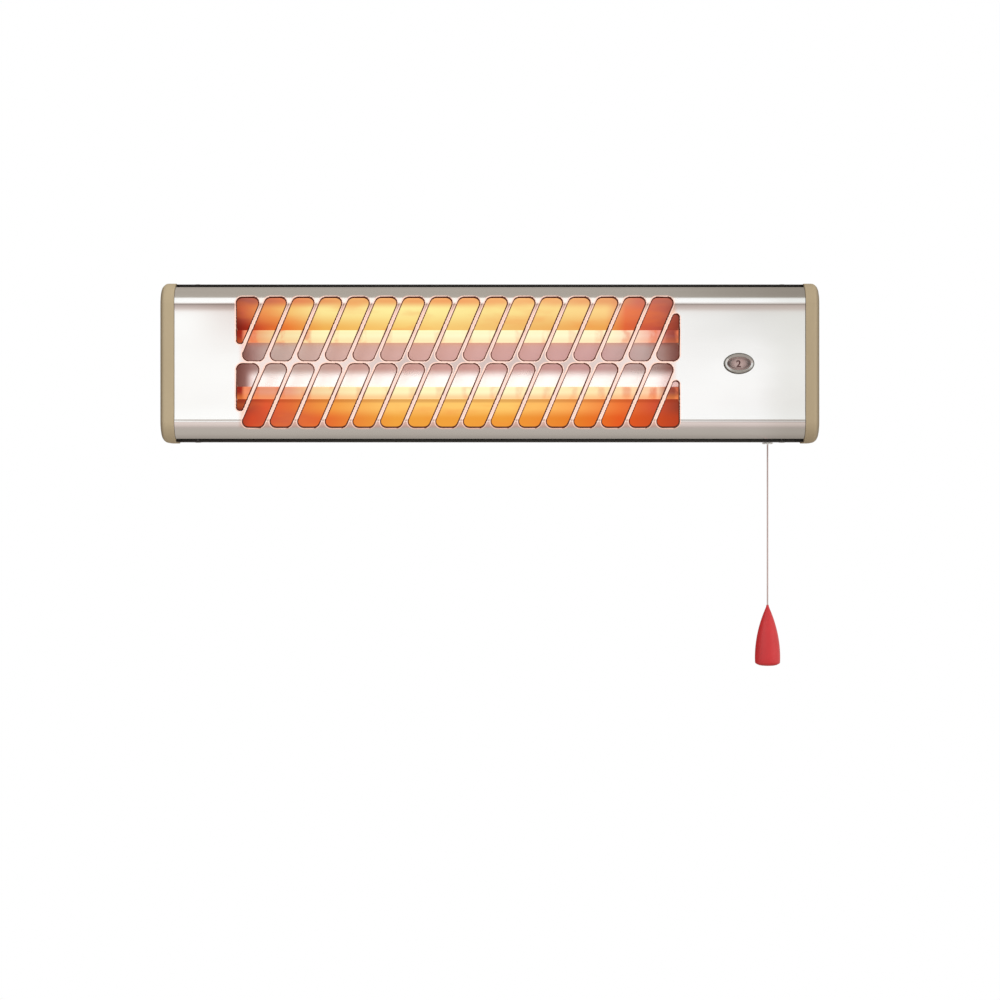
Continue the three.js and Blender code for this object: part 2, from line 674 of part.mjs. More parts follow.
// The right-hand cap: hollow, with rounded edges, a spigot inside the sheet metal and a boss
// for each screw. It is the same above and below, so turned about Y it is the left-hand cap.
function endCap() {
  const [along, inwards] = CAP_ROUND;
  const spigotOut = INSIDE_HALF - HOUSING_HALF;
  const ledge = SHOULDER + CAP_WALL;
  const sheetSide = (x) => box([0, x], [-FRONT_TO_WALL, FRONT_TO_WALL], [-LENGTH, LENGTH]);
  const toRound = [SHOULDER - 1, HALF_LENGTH - along, 2];
  const outer = alongX(endOutline(CAP_PROUD), ...toRound, rounded(along, inwards, 2));
  const inner = alongX(
    endOutline(CAP_PROUD - CAP_WALL), ...toRound, rounded(along - CAP_WALL, inwards - CAP_WALL, 1),
  );
  const spigot = alongX(endOutline(spigotOut), SHOULDER - SPIGOT_LENGTH, ledge, 2);
  const mouth = alongX(endOutline(spigotOut - SPIGOT_WALL), SHOULDER - SPIGOT_LENGTH - 1, ledge + 1, 2);
  let cap = outer.subtract(sheetSide(SHOULDER)).add(spigot);
  cap = cap.subtract(mouth).subtract(inner.subtract(sheetSide(ledge)));
  const well = CAP_SCREW[1] + CAP_SCREW_SUNK;
  for (const up of Object.values(LEVELS)) {
    const at = [0, CAP_SCREW_DEPTH, up * CAP_SCREW_Z];
    const boss = rod(CAP_BOSS_RADIUS, TAB_X + FIT, HALF_LENGTH - CAP_WALL / 2, X, at, 8);
    const shank = hole(CAP_SCREW[2], TAB_X, HALF_LENGTH, X, at, 6);
    const head = hole(CAP_SCREW[0], HALF_LENGTH - well, HALF_LENGTH + 1, X, at, 8);
    cap = cap.add(boss).subtract(shank).subtract(head);
  }
  return cap;
}

add(heater, "end_cap_right", endCap(), beigePlastic);
add(heater, "end_cap_left", endCap(), beigePlastic).rotation.y = Math.PI;

const capScrewSeat = HALF_LENGTH - CAP_SCREW[1] - CAP_SCREW_SUNK + FIT;
const capScrewLength = capScrewSeat - TAB_X + TAB_SIZE[0] + CAP_SCREW_REACH;
for (const [side, out] of Object.entries(SIDES)) {
  for (const [level, up] of Object.entries(LEVELS)) {
    const at = [out * capScrewSeat, CAP_SCREW_DEPTH, up * CAP_SCREW_Z];
    const capScrew = screw(CAP_SCREW, capScrewLength, outwards(-out), at);
    add(heater, `cap_screw_${side}_${level}`, capScrew, zincSteel);
  }
}

// ---------------------------------------------------------------- reflector and tube plates

// Flat in the middle, a parabola in each wing with a tube at its focus, and straight sides.
function reflector() {
  const STEPS = 6;
  const wing = [[REFLECTOR_FRONT, REFLECTOR_HALF]];
  for (let i = 0; i <= STEPS; i++) {
    const rise = ((REFLECTOR_HALF - TUBE_Z) * (STEPS - i)) / STEPS;
    wing.push([REFLECTOR_BACK - rise ** 2 / (4 * FOCUS), TUBE_Z + rise]);
  }
  const section = sheetSection(mirrored(wing), REFLECTOR_SHEET);
  return alongX(section, PLATE_LEFT + FIT, PLATE_RIGHT - FIT);
}

add(heater, "reflector", reflector(), polishedAluminium);

// A bulkhead across the section, with a flange on the housing's back and holes for the ceramics.
function tubePlate(face, side) {
  const foot = rising(face, face + side * PLATE_FOOT[0]);
  const height = [-PLATE_FOOT[1] / 2, PLATE_FOOT[1] / 2];
  const web = alongX(
    endOutline(INSIDE_HALF - HOUSING_HALF), ...rising(face, face + side * PLATE_SHEET), 2,
  );
  const gap = HOUSING_HALF - INSIDE_HALF; // from the housing's outside to the web's edge
  let plate = web.add(box(foot, [BACK - gap - PLATE_SHEET, SEAT], height));
  for (const up of Object.values(LEVELS)) {
    const at = [face, TUBE_DEPTH, up * TUBE_Z];
    plate = plate.subtract(hole(CERAMIC_NECK, -3, 3, X, at, 12));
  }
  return plate.subtract(rod(2 * WIRE_RADIUS, -3, 3, X, [face, WIRE_DEPTH, 0], 10));
}

for (const [name, face] of Object.entries(PLATES)) {
  add(heater, `tube_plate_${name}`, tubePlate(face, SIDES[name]), zincSteel);
}

// ---------------------------------------------------------------- quartz tubes

function ceramicCap(axis, at) {
  const SEGMENTS = 8;
  const bore = clear(TUBE_RADIUS, SEGMENTS);
  const pinHole = clear(PIN_RADIUS, SEGMENTS);
  const flangeFrom = PLATE_SHEET + FIT;
  const flangeTo = flangeFrom + CERAMIC_FLANGE[1];
  const floor = CERAMIC_LENGTH - CERAMIC_FLOOR;
  const profile = [
    [bore, -CERAMIC_NOSE],
    [CERAMIC_NECK, -CERAMIC_NOSE],
    [CERAMIC_NECK, flangeFrom],
    [CERAMIC_FLANGE[0], flangeFrom],
    [CERAMIC_FLANGE[0], flangeTo],
    [CERAMIC_NECK, flangeTo],
    [CERAMIC_NECK, CERAMIC_LENGTH],
    [pinHole, CERAMIC_LENGTH],
    [pinHole, floor],
    [bore, floor],
    [bore, -CERAMIC_NOSE],
  ];
  return turned(profile, axis, at, SEGMENTS);
}

// The pin carries the coil on a disc inside the tube and comes out through the ceramic's floor.
function terminalPin(axis, at) {
  const inner = COIL_WIRE + FIT - COIL_MARGIN;
  const disc = COIL_RADIUS + COIL_WIRE;
  const profile = [
    [0, inner],
    [disc, inner],
    [disc, inner + PIN_HEAD],
    [PIN_RADIUS, inner + PIN_HEAD],
    [PIN_RADIUS, CERAMIC_LENGTH + PIN_OUT],
    [0, CERAMIC_LENGTH + PIN_OUT],
  ];
  return turned(profile, axis, at, 6);
}

for (const [level, up] of Object.entries(LEVELS)) {
  const reach = CERAMIC_LENGTH - CERAMIC_FLOOR - FIT;
  const tube = [
    [TUBE_RADIUS, PLATE_LEFT - reach],
    [TUBE_RADIUS, PLATE_RIGHT + reach],
  ];
  const z = up * TUBE_Z;
  add(heater, `quartz_tube_${level}`, bored(tube, TUBE_BORE, X, [0, TUBE_DEPTH, z], 16), quartzGlass);
  const start = PLATE_LEFT + COIL_MARGIN;
  const length = PLATE_RIGHT - COIL_MARGIN - start;
  const helix = new Helix(X, [start, TUBE_DEPTH, z], COIL_RADIUS, length, COIL_TURNS);
  add(heater, `heating_coil_${level}`, wire(helix, COIL_WIRE, COIL_TURNS * 4, 3), glowingWire);
  for (const [side, out] of Object.entries(SIDES)) {
    const at = [PLATES[side], TUBE_DEPTH, z];
    add(heater, `ceramic_cap_${level}_${side}`, ceramicCap(outwards(out), at), whiteCeramic);
    add(heater, `terminal_pin_${level}_${side}`, terminalPin(outwards(out), at), zincSteel);
  }
}

// ---------------------------------------------------------------- window, disc and spindle

function windowBezel() {
  const EDGE = 0.5;
  const flange = ellipse(BEZEL_SIZE, WINDOW_X, SWITCH_Z);
  const skirt = ellipse(grown(WINDOW_SIZE, BEZEL_SKIRT), WINDOW_X, SWITCH_Z);
  const opening = ellipse(WINDOW_SIZE, WINDOW_X, SWITCH_Z);
  return alongY(flange, EDGE - BEZEL_PROUD, -FIT - EDGE, 8, rounded(EDGE, EDGE, 1))
    .add(alongY(skirt, -BEZEL_PROUD / 2, PANEL_SHEET + 1, 8))
    .subtract(alongY(opening, -BEZEL_PROUD - 1, PANEL_SHEET + 2, 8));
}

function indicatorDisc() {
  const SEGMENTS = 24;
  const profile = [
    [DISC_RADIUS, DISC_DEPTH],
    [DISC_RADIUS, DISC_DEPTH + DISC_SHEET],
    [WHEEL_HUB[0], DISC_DEPTH + DISC_SHEET],
    [WHEEL_HUB[0], DISC_DEPTH + DISC_HUB],
  ];
  return bored(profile, clear(SPINDLE_RADIUS, SEGMENTS), Y, SWITCH_AT, SEGMENTS);
}

// The spindle holds the disc with its head and runs through the wheel into the switch.
function indicatorSpindle() {
  const [head, thickness] = SPINDLE_HEAD;
  const headBack = DISC_DEPTH - FIT;
  const profile = [
    [0, headBack - thickness],
    [head, headBack - thickness],
    [head, headBack],
    [SPINDLE_RADIUS, headBack],
    [SPINDLE_RADIUS, SPINDLE_END],
    [0, SPINDLE_END],
  ];
  return turned(profile, Y, SWITCH_AT, 10);
}

const lensShape = ellipse(grown(WINDOW_SIZE, -FIT), WINDOW_X, SWITCH_Z);
add(heater, "window_bezel", windowBezel(), chrome);
add(heater, "window_lens", alongY(lensShape, -BEZEL_PROUD / 2, PANEL_SHEET, 8), smokedLens);
add(heater, "indicator_disc", indicatorDisc(), whitePlastic);
add(heater, "indicator_spindle", indicatorSpindle(), zincSteel);

// ---------------------------------------------------------------- cord wheel and switch

// A grooved wheel on the spindle, with a long hub that the return spring is wound round.
function cordWheel() {
  const LIP = 0.6;
  const SEGMENTS = 12;
  const [hub] = WHEEL_HUB;
  const rim = WHEEL_RADIUS + WHEEL_FLANGE;
  const floor = WHEEL_RADIUS - CORD_RADIUS - FIT;
  const profile = [
    [hub, HUB_FRONT],
    [hub, WHEEL_FRONT],
    [rim, WHEEL_FRONT],
    [rim, WHEEL_FRONT + LIP],
    [floor, CORD_DEPTH - CORD_RADIUS],
    [floor, CORD_DEPTH + CORD_RADIUS],
    [rim, WHEEL_BACK - LIP],
    [rim, WHEEL_BACK],
    [hub, WHEEL_BACK],
    [hub, SWITCH_DEPTH - FIT],
  ];
  return bored(profile, clear(SPINDLE_RADIUS, SEGMENTS), Y, SWITCH_AT, SEGMENTS);
}

// Coils round the wheel's hub, with a straight leg against the arm of the switch's stand.
function wheelSpring() {
  const PER_TURN = 6;
  const radius = (WHEEL_HUB[0] + FIT + SPRING_WIRE) / Math.cos(Math.PI / PER_TURN);
  const reach = WHEEL_HUB[1] - 2 * SPRING_WIRE - 2 * FIT;
  const at = [WHEEL_X, HUB_FRONT + SPRING_WIRE, SWITCH_Z];
  const coils = new Helix(Y, at, radius, reach, SPRING_TURNS, -Math.PI / 2);
  const points = [[STAND_ARM_X + STAND_SHEET + FIT + SPRING_WIRE, at[1], SWITCH_Z - radius]];
  for (const point of coils.getPoints(SPRING_TURNS * PER_TURN)) points.push(point.toArray());
  return wire(smoothCurve(points), SPRING_WIRE, SPRING_TURNS * PER_TURN + 5, 4);
}

// The blades that the wires push onto, by the end of each: two on top and one below.
function bladePlaces() {
  const reach = SWITCH_SIZE[2] / 2 + BLADE_SIZE[2];
  return [
    { x: WHEEL_X - BLADE_OFFSET, z: SWITCH_Z + reach, up: 1 },
    { x: WHEEL_X + BLADE_OFFSET, z: SWITCH_Z + reach, up: 1 },
    { x: WHEEL_X - BLADE_OFFSET, z: SWITCH_Z - reach, up: -1 },
  ];
}

function switchBody() {
  const CORNER = 3;
  const [width, , height] = SWITCH_SIZE;
  const low = [WHEEL_X - width / 2, SWITCH_Z - height / 2];
  const high = [WHEEL_X + width / 2, SWITCH_Z + height / 2];
  const bore = hole(SPINDLE_RADIUS, SWITCH_DEPTH - 1, SPINDLE_END + FIT, Y, SWITCH_AT);
  let body = alongY(rectangle(low, high, CORNER), SWITCH_DEPTH, SWITCH_BACK, 2).subtract(bore);
  for (const { x, z, up } of bladePlaces()) {
    const across = [x - BLADE_SIZE[0] / 2, x + BLADE_SIZE[0] / 2];
    const deep = [BLADE_DEPTH - BLADE_SIZE[1] / 2, BLADE_DEPTH + BLADE_SIZE[1] / 2];
    body = body.add(box(across, deep, rising(z, z - up * (BLADE_SIZE[2] + 1))));
  }
  return body;
}

// A folded strip that carries the switch off the housing's back. Its left foot is turned
// forward into an arm that the spring's leg rests on.
function switchStand() {
  const top = SWITCH_BACK + FIT + STAND_SHEET;
  const half = SWITCH_SIZE[0] / 2 - STAND_INSET;
  const run = [
    [WHEEL_X + half + STAND_FOOT, SEAT],
    [WHEEL_X + half, SEAT],
    [WHEEL_X + half, top],
    [WHEEL_X - half, top],
    [WHEEL_X - half, SEAT],
    [STAND_ARM_X, SEAT],
    [STAND_ARM_X, HUB_FRONT],
  ];
  const tall = SWITCH_SIZE[2] / 2 - 2;
  return alongZ(sheetSection(run, STAND_SHEET), SWITCH_Z - tall, SWITCH_Z + tall);
}

const groove = new Helix(Y, [WHEEL_X, CORD_DEPTH, SWITCH_Z], WHEEL_RADIUS, 0, 0.5);
add(heater, "cord_wheel", cordWheel(), whitePlastic);
add(heater, "cord_on_wheel", wire(groove, CORD_RADIUS, 12, 6), nylonCord);
add(heater, "wheel_spring", wheelSpring(), springSteel);
add(heater, "switch_body", switchBody(), blackPlastic);
add(heater, "switch_stand", switchStand(), zincSteel);

// ---------------------------------------------------------------- pull cord, guide and knob

// Pear-shaped, with the cord's knot in a recess under it.
function pullKnob() {
  const FULLEST = 0.88; // share of the height at which the knob is widest, from the top
  const SWELL = 0.85; // how early it fills out
  const STEPS = 9;
  const [recess, recessDepth] = KNOB_RECESS;
  const bottom = -KNOB_HEIGHT;
  const foot = [[recess, bottom], [KNOB_RADIUS - 3, bottom + 0.4], [KNOB_RADIUS - 0.8, bottom + 2]];
  const side = [];
  for (let i = STEPS; i >= 0; i--) {
    const share = i / STEPS;
    const swell = Math.sin((Math.PI / 2) * share ** SWELL);
    side.push([Math.max(KNOB_RADIUS * swell, KNOB_TIP), bottom * FULLEST * share]);
  }
  const inside = [[KNOB_BORE, 0], [KNOB_BORE, bottom + recessDepth], [recess, bottom + recessDepth]];
  const ring = [...foot, ...side, ...inside, foot[0]];
  return turned(ring, Z, [CORD_X, CORD_DEPTH, KNOB_TOP], 12);
}

const insideCord = [SWITCH_Z - FIT, CORD_ROUTE[0] + FIT];
const knotZ = CORD_ROUTE.at(-1) - FIT - KNOT_RADIUS;
const knot = new THREE.SphereGeometry(KNOT_RADIUS, 10, 6).translate(CORD_X, CORD_DEPTH, knotZ);
const cordCurve = smoothCurve(CORD_ROUTE.map((z) => [CORD_X, CORD_DEPTH, z]));
const guideAt = [CORD_X, CORD_DEPTH, HOUSING_SHEET / 2 - HOUSING_HALF];
const guide = bush(GUIDE_RADII, GUIDE_FLANGE, HOUSING_SHEET, Z, guideAt);
const straight = rod(CORD_RADIUS, ...rising(...insideCord), Z, [CORD_X, CORD_DEPTH, 0], 8);
add(heater, "cord_guide", guide, whitePlastic);
add(heater, "cord_inside", straight, nylonCord);
add(heater, "pull_cord", wire(cordCurve, CORD_RADIUS, (CORD_ROUTE.length - 1) * 3, 8), nylonCord);
add(heater, "pull_knob", pullKnob(), redPlastic);
add(heater, "cord_knot", toSolid(knot), nylonCord);

// ---------------------------------------------------------------- mains inlet and wiring

function clampScrewPlaces() {
  const reach = CLAMP_REACH - CLAMP_FOOT / 2;
  return [-reach, reach].map((x) => [INLET_X + x, 0, CLAMP_Z]);
}

// An arched strap over the mains cable's place, with a screw through each foot.
function cableClamp() {
  const BEND = 3;
  const half = CLAMP_CLEAR[0] / 2;
  const top = SEAT - CLAMP_CLEAR[1];
  const run = [
    [INLET_X + CLAMP_REACH, SEAT],
    [INLET_X + half, SEAT],
    [INLET_X + half, top, BEND],
    [INLET_X - half, top, BEND],
    [INLET_X - half, SEAT],
    [INLET_X - CLAMP_REACH, SEAT],
  ];
  const strap = sheetSection(run, CLAMP_SHEET);
  let clamp = alongZ(strap, CLAMP_Z - CLAMP_WIDTH / 2, CLAMP_Z + CLAMP_WIDTH / 2, 2);
  for (const at of clampScrewPlaces()) {
    clamp = clamp.subtract(hole(CLAMP_SCREW[2], SEAT - 3, SEAT + 1, Y, at, 8));
  }
  return clamp;
}

// A moulded block with a screw well above and below at each pole.
function terminalBlock() {
  const WELL = [2, 4]; // radius and depth
  const CORNER = 1.5;
  const [width, depth, height] = BLOCK_SIZE;
  const low = [BLOCK_X - width / 2, BLOCK_Z - height / 2];
  const high = [BLOCK_X + width / 2, BLOCK_Z + height / 2];
  let block = alongY(rectangle(low, high, CORNER), SEAT - depth, SEAT, 2);
  for (let i = 0; i < BLOCK_POLES; i++) {
    const x = low[0] + ((i + 0.5) * width) / BLOCK_POLES;
    for (const up of Object.values(LEVELS)) {
      const at = [x, SEAT - depth, BLOCK_Z + (up * height) / 4];
      block = block.subtract(rod(WELL[0], -1, WELL[1], Y, at, 6));
    }
  }
  return block;
}

function earthStud() {
  const [radius, length] = STUD_SIZE;
  const [collar, thickness] = STUD_COLLAR;
  const profile = [
    [0, SEAT - length],
    [radius - 0.4, SEAT - length],
    [radius, SEAT - length + 0.5],
    [radius, SEAT - thickness],
    [collar, SEAT - thickness],
    [collar, SEAT],
    [0, SEAT],
  ];
  return turned(profile, Y, [EARTH_X, 0, EARTH_Z], 8);
}

const inletAt = [INLET_X, BACK - HOUSING_SHEET / 2, INLET_Z];
const clampSeat = SEAT - CLAMP_SHEET - FIT;
add(heater, "cable_grommet", bush(INLET_RADII, INLET_FLANGE, HOUSING_SHEET, Y, inletAt), rubber);
add(heater, "cable_clamp", cableClamp(), zincSteel);
clampScrewPlaces().forEach(([x, , z], i) => {
  const clampScrew = screw(CLAMP_SCREW, BACK - clampSeat + 1.5, Y, [x, clampSeat, z]);
  add(heater, `clamp_screw_${Object.keys(SIDES)[i]}`, clampScrew, zincSteel);
});
add(heater, "terminal_block", terminalBlock(), whitePlastic);
add(heater, "earth_stud", earthStud(), zincSteel);

// Sleeved wires. The ends keep a small gap to the pin, blade or terminal that they go to.
const pinEnd = CERAMIC_LENGTH + PIN_OUT + FIT;
const leftPin = PLATE_LEFT - pinEnd;
const rightPin = PLATE_RIGHT + pinEnd;
const linkX = leftPin - 9;
const blockTop = BLOCK_Z + BLOCK_SIZE[2] / 2;
const [upperBlade, liveBlade, lowerBlade] = bladePlaces();

const WIRES = {
  link_wire_left: [
    [leftPin, TUBE_DEPTH, TUBE_Z],
    [leftPin - 5, TUBE_DEPTH, TUBE_Z],
    [linkX, TUBE_DEPTH, TUBE_Z - 7],
    [linkX, TUBE_DEPTH, 0],
    [linkX, TUBE_DEPTH, 7 - TUBE_Z],
    [leftPin - 5, TUBE_DEPTH, -TUBE_Z],
    [leftPin, TUBE_DEPTH, -TUBE_Z],
  ],
  wire_neutral: [
    [linkX, TUBE_DEPTH + 2 * WIRE_RADIUS, 0],
    [linkX, WIRE_DEPTH - 8, 0],
    [linkX + 6, WIRE_DEPTH, 0],
    [PLATE_LEFT, WIRE_DEPTH, 0],
    [0, WIRE_DEPTH, 0],
    [PLATE_RIGHT, WIRE_DEPTH, 0],
    [BLOCK_X - BLOCK_SIZE[0] / 2 - FIT, WIRE_DEPTH, 0],
  ],
  wire_switch_upper: [
    [rightPin, TUBE_DEPTH, TUBE_Z],
    [rightPin + 3, TUBE_DEPTH, TUBE_Z],
    [rightPin + 9, TUBE_DEPTH, TUBE_Z + 2],
    [upperBlade.x - 8, BLADE_DEPTH - 4, TUBE_Z + 7],
    [upperBlade.x, BLADE_DEPTH, TUBE_Z + 6],
    [upperBlade.x, BLADE_DEPTH, upperBlade.z + FIT],
  ],
  wire_switch_lower: [
    [rightPin, TUBE_DEPTH, -TUBE_Z],
    [rightPin + 3, TUBE_DEPTH, -TUBE_Z],
    [rightPin + 9, TUBE_DEPTH, -TUBE_Z - 3],
    [lowerBlade.x - 8, BLADE_DEPTH - 4, -TUBE_Z - 9],
    [lowerBlade.x, BLADE_DEPTH, -TUBE_Z - 8],
    [lowerBlade.x, BLADE_DEPTH, lowerBlade.z - FIT],
  ],
  wire_live: [
    [BLOCK_X + 6, WIRE_DEPTH, blockTop + FIT],
    [BLOCK_X + 6, WIRE_DEPTH, blockTop + 5],
    [BLOCK_X + 20, WIRE_DEPTH, blockTop + 18],
    [liveBlade.x - 3, BLADE_DEPTH + 3, TUBE_Z + 9],
    [liveBlade.x, BLADE_DEPTH, TUBE_Z + 5],
    [liveBlade.x, BLADE_DEPTH, liveBlade.z + FIT],
  ],
};
for (const [name, points] of Object.entries(WIRES)) {
  const steps = name === "wire_neutral" ? 20 : 11;
  add(heater, name, wire(smoothCurve(points), WIRE_RADIUS, steps, 5), siliconeSleeve);
}

// ---------------------------------------------------------------- wall bracket and tilt

// A strip bent in plan along a run and trimmed to a round-ended outline seen from the side.
function bentStrip(run, side, thickness, profile) {
  const corners = run.map(([x, y, radius = 0]) => [side * x, y, radius]);
  const section = sheetSection(side > 0 ? corners : corners.reverse(), thickness);
  const reach = 2 * EAR_RADIUS;
  return alongZ(section, -reach, reach, 2).intersect(alongX(profile, -LENGTH, LENGTH, 4));
}

// The plate on the wall, with two keyholes and two ears that carry the heater.
function wallBracket() {
  const pivot = hole(PIVOT_RADIUS, -LENGTH, LENGTH, X, [0, -PIVOT_OUT, 0], 12);
  const lockEnd = LOCK_ANGLE + LOCK_SWEEP;
  const lock = arcSlot([-PIVOT_OUT, 0], LOCK_ARC, LOCK_ANGLE, lockEnd, LOCK_RADIUS + FIT);
  const front = -PIVOT_OUT - 2 * EAR_RADIUS;
  const run = [
    [EAR_OUTSIDE, front],
    [EAR_OUTSIDE, 0, BRACKET_BEND],
    [-EAR_OUTSIDE, 0, BRACKET_BEND],
    [-EAR_OUTSIDE, front],
  ];
  let bracket = bentStrip(run, 1, BRACKET_SHEET, roundEnd(1, -PIVOT_OUT, EAR_RADIUS))
    .subtract(pivot)
    .subtract(alongX(lock, -LENGTH, LENGTH, 2));
  for (const side of Object.values(SIDES)) {
    const low = [side * KEYHOLE_X, -KEYHOLE_LIFT / 2];
    const high = [side * KEYHOLE_X, KEYHOLE_LIFT / 2];
    const head = rod(KEYHOLE_HEAD, -3, 1, Y, [low[0], 0, low[1]]);
    const neck = alongY(obround(low, high, KEYHOLE_NECK), -3, 1);
    bracket = bracket.subtract(head).subtract(neck);
  }
  return bracket;
}

// A lug with its foot on the housing's back, and a welded nut for the locking screw.
function pivotLug(side) {
  const base = BACK + FIT;
  const run = [
    [LUG_INSIDE - LUG_FOOT, base],
    [LUG_OUTSIDE, base, BRACKET_BEND],
    [LUG_OUTSIDE, PIVOT_DEPTH + 2 * LUG_RADIUS],
  ];
  const lockAt = [0, LOCK_DEPTH, LOCK_Z];
  const nutFrom = LUG_INSIDE - LOCK_NUT[1];
  return bentStrip(run, side, BRACKET_SHEET, roundEnd(base - 1, PIVOT_DEPTH, LUG_RADIUS))
    .add(rod(LOCK_NUT[0], nutFrom, LUG_OUTSIDE - BRACKET_SHEET / 2, outwards(side), lockAt, 6))
    .subtract(hole(PIVOT_RADIUS, -LENGTH, LENGTH, X, [0, PIVOT_DEPTH, 0], 12))
    .subtract(hole(LOCK_RADIUS, -LENGTH, LENGTH, X, lockAt, 10));
}

function pivotRivet(side) {
  const [head, thickness] = RIVET_HEAD;
  const inner = LUG_INSIDE - FIT;
  const outer = EAR_OUTSIDE + FIT;
  const profile = [
    [0, inner - thickness],
    [head, inner - thickness],
    [head, inner],
    [PIVOT_RADIUS, inner],
    [PIVOT_RADIUS, outer],
    [head, outer],
    [head * 0.6, outer + thickness],
    [0, outer + thickness],
  ];
  return turned(profile, outwards(side), [0, -PIVOT_OUT, 0], 12);
}

// A fluted hand knob on the locking screw, which clamps the ear against the lug.
function lockKnob(side) {
  const FLUTES = 6;
  const FLUTE_RADIUS = 2;
  const [collar, collarThickness] = LOCK_COLLAR;
  const [radius, thickness] = LOCK_KNOB;
  const tip = LUG_INSIDE - LOCK_NUT[1] - LOCK_RADIUS;
  const start = EAR_OUTSIDE + FIT;
  const grip = start + collarThickness;
  const end = grip + thickness;
  const profile = [
    [0, tip],
    [LOCK_RADIUS, tip],
    [LOCK_RADIUS, start],
    [collar, start],
    [collar, grip],
    [radius, grip],
    [radius, end - 1],
    [radius - 1, end],
    [0, end],
  ];
  let knob = turned(profile, outwards(side), [0, LOCK_DEPTH, LOCK_Z], 12);
  for (let i = 0; i < FLUTES; i++) {
    const angle = (2 * Math.PI * i) / FLUTES;
    const reach = radius + FLUTE_RADIUS / 2;
    const at = [0, LOCK_DEPTH + reach * Math.cos(angle), LOCK_Z + reach * Math.sin(angle)];
    knob = knob.subtract(rod(FLUTE_RADIUS, grip + 1.5, end + 1, outwards(side), at, 6));
  }
  return knob;
}

add(root, "wall_bracket", wallBracket(), zincSteel);
for (const [name, side] of Object.entries(SIDES)) {
  add(heater, `pivot_lug_${name}`, pivotLug(side), zincSteel);
  add(root, `pivot_rivet_${name}`, pivotRivet(side), zincSteel);
  add(heater, `lock_knob_${name}`, lockKnob(side), blackPlastic);
}

export default root;
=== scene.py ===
import math

import bmesh
import bpy
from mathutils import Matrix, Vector
from mathutils.geometry import delaunay_2d_cdt


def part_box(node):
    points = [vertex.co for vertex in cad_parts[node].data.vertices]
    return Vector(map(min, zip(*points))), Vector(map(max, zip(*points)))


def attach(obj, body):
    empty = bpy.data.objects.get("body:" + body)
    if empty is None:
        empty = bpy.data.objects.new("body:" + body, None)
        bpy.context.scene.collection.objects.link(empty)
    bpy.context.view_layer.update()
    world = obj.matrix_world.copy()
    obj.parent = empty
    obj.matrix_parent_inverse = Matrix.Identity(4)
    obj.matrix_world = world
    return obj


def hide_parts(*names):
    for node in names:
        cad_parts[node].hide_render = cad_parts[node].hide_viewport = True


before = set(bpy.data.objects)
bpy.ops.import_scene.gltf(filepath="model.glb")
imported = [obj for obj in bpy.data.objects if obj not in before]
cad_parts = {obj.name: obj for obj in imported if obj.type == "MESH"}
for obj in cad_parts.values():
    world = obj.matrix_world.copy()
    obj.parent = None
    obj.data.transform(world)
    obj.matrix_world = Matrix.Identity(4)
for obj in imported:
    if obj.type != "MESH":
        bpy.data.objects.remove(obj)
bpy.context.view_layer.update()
scene = bpy.context.scene

# ---------------------------------------------------------------- camera
# The heater hangs at eye level and is seen straight on, from two metres away, with the lens a
# little below it and slightly to its right.

camera_data = bpy.data.cameras.new("camera")
camera_data.lens = 86.9
camera_data.sensor_width = 36
camera = bpy.data.objects.new("camera", camera_data)
camera.location = (0.008, -1.992, -0.1085)
camera.rotation_euler = (math.radians(90), 0, 0)
scene.collection.objects.link(camera)
scene.camera = camera

# ---------------------------------------------------------------- pull cord
# A braided nylon cord, 1.2 mm thick, comes down out of the guide under the heater, runs through
# the red knob and ends in a knot in the recess below it.


class Value:
    """A number that changes over a surface. Arithmetic on it adds Math nodes to its tree."""

    def __init__(self, nodes, socket):
        self.nodes = nodes
        self.socket = socket

    def joined(self, operation, left, right):
        return self.nodes.node("ShaderNodeMath", {0: left, 1: right}, operation=operation)

    def __add__(self, other):
        return self.joined("ADD", self, other)

    def __radd__(self, other):
        return self.joined("ADD", other, self)

    def __sub__(self, other):
        return self.joined("SUBTRACT", self, other)

    def __rsub__(self, other):
        return self.joined("SUBTRACT", other, self)

    def __mul__(self, other):
        return self.joined("MULTIPLY", self, other)

    def __rmul__(self, other):
        return self.joined("MULTIPLY", other, self)

    def __truediv__(self, other):
        return self.joined("DIVIDE", self, other)

    def __rtruediv__(self, other):
        return self.joined("DIVIDE", other, self)

    def wave(self):
        """Sine of the value."""
        return self.nodes.node("ShaderNodeMath", {0: self}, operation="SINE")

    def step(self, low, high):
        """0 below low and 1 above high, with a smooth rise between them. High may be the lower."""
        inputs = {0: self, 1: low, 2: high, 3: 0.0, 4: 1.0}
        return self.nodes.node("ShaderNodeMapRange", inputs, interpolation_type="SMOOTHSTEP")


